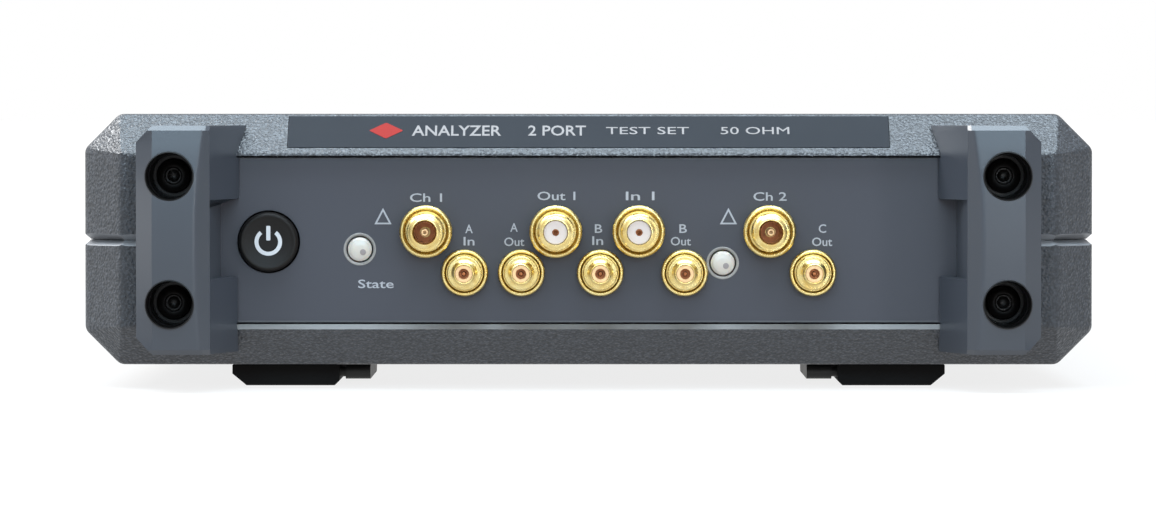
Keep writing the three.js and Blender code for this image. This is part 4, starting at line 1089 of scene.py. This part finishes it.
STUD_HOLE = 2.05
stud = [(0, 9), (1.45, 9), (1.95, 8.5), (1.95, -7), (0, -7)]
piece(rear_turned(stud, GROUND.x, GROUND.z, 32), "ground_stud", STEEL, ["ground_terminal"])
grip = [(NUT_RADIUS, KNURL_END - 0.01 - NUT_STEP * i) for i in range(9)]
thumb_nut = [(STUD_HOLE, 6.4), (3.5, 6.4), (3.7, 6.1), (NUT_RADIUS, KNURL_END), *grip,
             (NUT_RADIUS, KNURL_START), (3.6, 1.1), (3.1, 1.0), (STUD_HOLE, 1.0)]
thumb_nut = rear_turned(thumb_nut, GROUND.x, GROUND.z, 128, 0.04, knurl)
piece(thumb_nut, "ground_thumb_nut", STEEL)
washer = [(STUD_HOLE, 0.9), (3.9, 0.9), (3.9, 0.3), (STUD_HOLE, 0.3)]
piece(rear_turned(washer, GROUND.x, GROUND.z, 48, 0.08), "ground_washer", TIN)
lock_nut = prism(circle(3.4, GROUND.x, GROUND.z, 6), PANEL_Y - 5, PANEL_Y - 3)
lock_nut = cut(lock_nut, rear_hole(STUD_HOLE, GROUND.x, GROUND.z, 32))
piece(soften(lock_nut, 0.12), "ground_lock_nut", STEEL)

USB_LOW, USB_HIGH = span("usb_c_receptacle")
USB_WALL = 0.35
mouth = USB_HIGH.y
usb_outside = rounded_box((USB_LOW.x, USB_LOW.z), (USB_HIGH.x, USB_HIGH.z), 1.6, USB_LOW.y, mouth)
usb_inside = rounded_box((USB_LOW.x + USB_WALL, USB_LOW.z + USB_WALL),
                         (USB_HIGH.x - USB_WALL, USB_HIGH.z - USB_WALL), 1.28, mouth - 7, mouth + 1)
usb_shell = cut(usb_outside, usb_inside)
piece(soften(usb_shell, 0.05), "usb_c_shell", STEEL, ["usb_c_receptacle"])
tongue = rounded_box((USB.x - 3.3, USB.z - 0.35), (USB.x + 3.3, USB.z + 0.35), 0.25, mouth - 6.9,
                     mouth - 1.2)
piece(soften(tongue, 0.08), "usb_c_tongue", BLACK_PLASTIC)
CONTACT_PITCH = 0.5
blades = []
for i in range(-5, 6):
    x = USB.x + CONTACT_PITCH * i
    blades.append(box(x - 0.12, x + 0.12, mouth - 6, mouth - 1.5, USB.z + 0.36, USB.z + 0.42))
piece(group(blades), "usb_c_contacts", GOLD)

DC_LOW, DC_HIGH = span("dc_power_jack")
dc_body = box(DC_LOW.x, DC_HIGH.x, DC_LOW.y, PANEL_Y - PANEL_DEPTH - GAP, DC_LOW.z, DC_HIGH.z)
dc_nose = rear_turned([(0, 0.2), (4.2, 0.2), (4.2, -4), (0, -4)], DC.x, DC_Z, 64, 0.3)
dc_bore = rear_turned([(0, 1), (3.1, 1), (3.1, -12), (0, -12)], DC.x, DC_Z, 48, 0.01)
piece(soften(cut(join(dc_body, dc_nose), dc_bore), 0.2), "dc_jack_body", BLACK_PLASTIC,
      ["dc_power_jack"])
dc_sleeve = [(2.85, -0.8), (3.08, -0.8), (3.08, -11.9), (2.85, -11.9)]
piece(rear_turned(dc_sleeve, DC.x, DC_Z, 48, 0.05), "dc_jack_sleeve", TIN)
dc_pin = [(0, -1.0), (0.7, -1.05), (1.15, -1.6), (1.2, -12), (0, -12)]
piece(rear_turned(dc_pin, DC.x, DC_Z, 32, 0.2), "dc_jack_pin", TIN)

BLADES, HUB_RADIUS, TIP_RADIUS = 7, 6.5, 10.95
ROOT_RADIUS = HUB_RADIUS - 0.6  # the blades start inside the hub


def fan_blade(x, low, high, turn):
    """Swept, cambered blade, in sections wrapped round the axis."""
    rings = []
    chord_steps, sections = 6, 5
    for j in range(sections):
        reach = j / (sections - 1)
        radius = ROOT_RADIUS + (TIP_RADIUS - ROOT_RADIUS) * reach
        lean, sweep, thick = 2.9 - 0.6 * reach, 1.4 * reach ** 2, 0.38 - 0.16 * reach
        near, far = [], []
        for i in range(chord_steps + 1):
            t = i / chord_steps
            across = lean * (1 - 2 * t) + sweep + 0.9 * sin(pi * t)
            y = low + 0.4 + (high - low - 0.8) * t
            half = thick * sqrt(max(0.08, sin(pi * t)))
            near.append((radius, turn + (across - half) / radius, y))
            far.append((radius, turn + (across + half) / radius, y))
        rings.append([(x + r * sin(a), y, MID_Z + r * cos(a)) for r, a, y in near + far[::-1]])
    return loft(rings)


def fan_impeller(node):
    """Hub with a recessed face, and its ring of blades."""
    low, high = span(node)
    x = (low.x + high.x) / 2
    ring = eased([(0, low.y), (5.6, low.y), (HUB_RADIUS, low.y + 0.9), (HUB_RADIUS, high.y), (5.9, high.y),
                  (5.9, high.y - 1.5), (1.3, high.y - 1.5), (1.3, high.y - 4), (0, high.y - 4)], 0.4)
    made = turned(ring, (x, 0, MID_Z), REAR, 64)
    turns = [2 * pi * i / BLADES for i in range(BLADES)]
    return join(made, *[fan_blade(x, low.y, high.y, turn) for turn in turns])


for i in (1, 2):
    node = f"fan_impeller_{i}"
    piece(fan_impeller(node), f"fan_wheel_{i}", BLACK_PLASTIC, [node], node)


lettering("legend_data", "Data", 5.6, CAP, on_face(USB.x, 24.5, 1), GREY_PRINT, FATTEN)
lettering("legend_dc_in", "DC In", 6.6, CAP, on_face(DC.x, 28.4, 1), GREY_PRINT, FATTEN)
earth_bars = []
for half, z in ((1.5, 1.0), (1.0, 0.35), (0.5, -0.3)):
    earth_bars.append(box(-half, half, -0.04, PRINT_LIFT, z, z + 0.3))
earth_bars.append(box(-0.15, 0.15, -0.04, PRINT_LIFT, 1.3, 2.4))
earth = group(earth_bars)
earth.data.transform(Matrix.Translation((GROUND.x, PANEL_Y, 27.4)))
piece(earth, "legend_earth", GREY_PRINT)

# ---- CAD nodes that keep their shape

KEPT = {
    "chassis_tray": TIN, "main_board": BOARD, "heat_sink": ALUMINIUM, "power_switch": BLACK_PLASTIC,
    "port_1_shield": TIN, "source_shield": TIN, "port_2_shield": TIN, "port_1_cable": COPPER,
    "port_2_cable": COPPER, "fan_frame_1": BLACK_PLASTIC, "fan_frame_2": BLACK_PLASTIC,
}
for name, material in KEPT.items():
    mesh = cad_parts[name].data
    mesh.materials.clear()
    mesh.materials.append(material)

# ---- floor, light and camera


def backlit_sheet(name):
    """Pale opal sheet lit from below as on a photographer's table, its glow lower near the middle as a
    painted shadow round the object.
    """
    material = bpy.data.materials.new(name)
    f = Nodes(material)
    away = f.add("VectorMath", {0: f.place}, operation="LENGTH").outputs["Value"]
    shadow_reach = f.add("Math", {0: away, 1: f.noise(300, 1.0)}, operation="MULTIPLY").outputs[0]
    # glow rises with distance from the middle: a painted soft shadow under and round the object
    glow_with_painted_shadow = f.spread(shadow_reach, 0.82, 0.99, 0.1, 0.4)
    f.set(base_color=(0.09, 0.09, 0.09, 1), roughness=0.9, emission_color=(1, 1, 1, 1),
          emission_strength=glow_with_painted_shadow, specular_ior_level=0.1)
    return material


def make_floor():
    bm = bmesh.new()
    bmesh.ops.create_grid(bm, x_segments=8, y_segments=8, size=30)
    mesh = bpy.data.meshes.new("floor")
    bm.to_mesh(mesh)
    bm.free()
    floor = placed("floor", mesh)
    floor.data.materials.append(backlit_sheet("floor_sheet"))
    floor.location.z = -0.1 * MM


TARGET = (0, -0.1, 0.03)


def area_light(name, place, width, height, watts, colour=(1, 1, 1), gloss=True, target=TARGET):
    """Soft box. Without gloss it lights surfaces but is not mirrored in them."""
    light = bpy.data.lights.new(name, "AREA")
    light.shape = "RECTANGLE"
    light.size, light.size_y = width, height
    light.energy = watts
    light.color = colour
    made = placed(name, light)
    made.location = place
    made.rotation_euler = (Vector(target) - Vector(place)).to_track_quat("-Z", "Y").to_euler()
    made.visible_camera = False
    made.visible_glossy = gloss
    return made


def link_light(light, state):
    """Keeps a light to the covers (INCLUDE) or away from them (EXCLUDE)."""
    receivers = bpy.data.collections.new(light.name + "_receivers")
    light.light_linking.receiver_collection = receivers
    for name in ("top_cover_shell", "bottom_cover_shell"):
        receivers.objects.link(bpy.data.objects[name])
    for member in receivers.collection_objects:
        member.light_linking.link_state = state


def make_world():
    """White backdrop; as a light it is stronger from the left than from the right."""
    world = bpy.data.worlds.new("studio")
    bpy.context.scene.world = world
    n = Nodes(world)
    parts = n.add("SeparateXYZ", {0: n.coordinates["Generated"]}).outputs
    across = n.spread(parts["X"], WORLD_LEFT, WORLD_RIGHT, -1, 1)
    upward = n.spread(parts["Z"], WORLD_LOW, 1, 0, 0.5)
    both = n.add("Math", {0: across, 1: upward}, operation="MULTIPLY").outputs[0]
    seen = n.add("LightPath").outputs["Is Camera Ray"]
    background = world.node_tree.nodes["Background"]
    n.feed(background, "Color", (1, 1, 1, 1))
    n.feed(background, "Strength", n.spread(seen, both, 1, 0, 1))


WORLD_LEFT, WORLD_RIGHT, WORLD_LOW = 1.15, 0.7, 0.62
make_floor()
make_world()
SKY, DEEP_SKY = (0.74, 0.89, 1.0), (0.58, 0.83, 1.0)
area_light("key", (0.0, -0.22, 0.8), 1.0, 0.6, 17.4, SKY, target=(0, -0.12, 0.03))
# not mirrored in the wide top, which would look pale from behind
for name, gloss, state in (("front_box", True, "EXCLUDE"), ("front_shell_box", False, "INCLUDE")):
    link_light(area_light(name, (0.0, -1.35, 0.5), 1.1, 0.35, 9.4, DEEP_SKY, gloss), state)
area_light("left_high", (-0.6, 0.15, 0.7), 0.35, 0.35, 8)
area_light("left_side", (-0.9, 0.0, 0.15), 0.4, 0.4, 0.9)
area_light("left_wing", (-0.8, -0.95, 0.12), 0.15, 0.5, 2.1, SKY, gloss=False)
area_light("right_wing", (0.8, -0.95, 0.12), 0.15, 0.5, 5.4, gloss=False)
area_light("right_glint", (0.28, -1.15, 0.06), 0.1, 0.1, 0.5)

CAMERA_PLACE = (0.0, -1.1415, 0.048)
CAMERA_DOWN, CAMERA_LEFT = radians(1.475), radians(0.106)
camera = bpy.data.cameras.new("camera")
camera.lens = 177.4
camera.clip_start = 0.01
camera_object = placed("camera", camera)
camera_object.location = CAMERA_PLACE
camera_object.rotation_euler = (pi / 2 - CAMERA_DOWN, 0, CAMERA_LEFT)
bpy.context.scene.camera = camera_object
bpy.context.scene.view_settings.view_transform = "Standard"
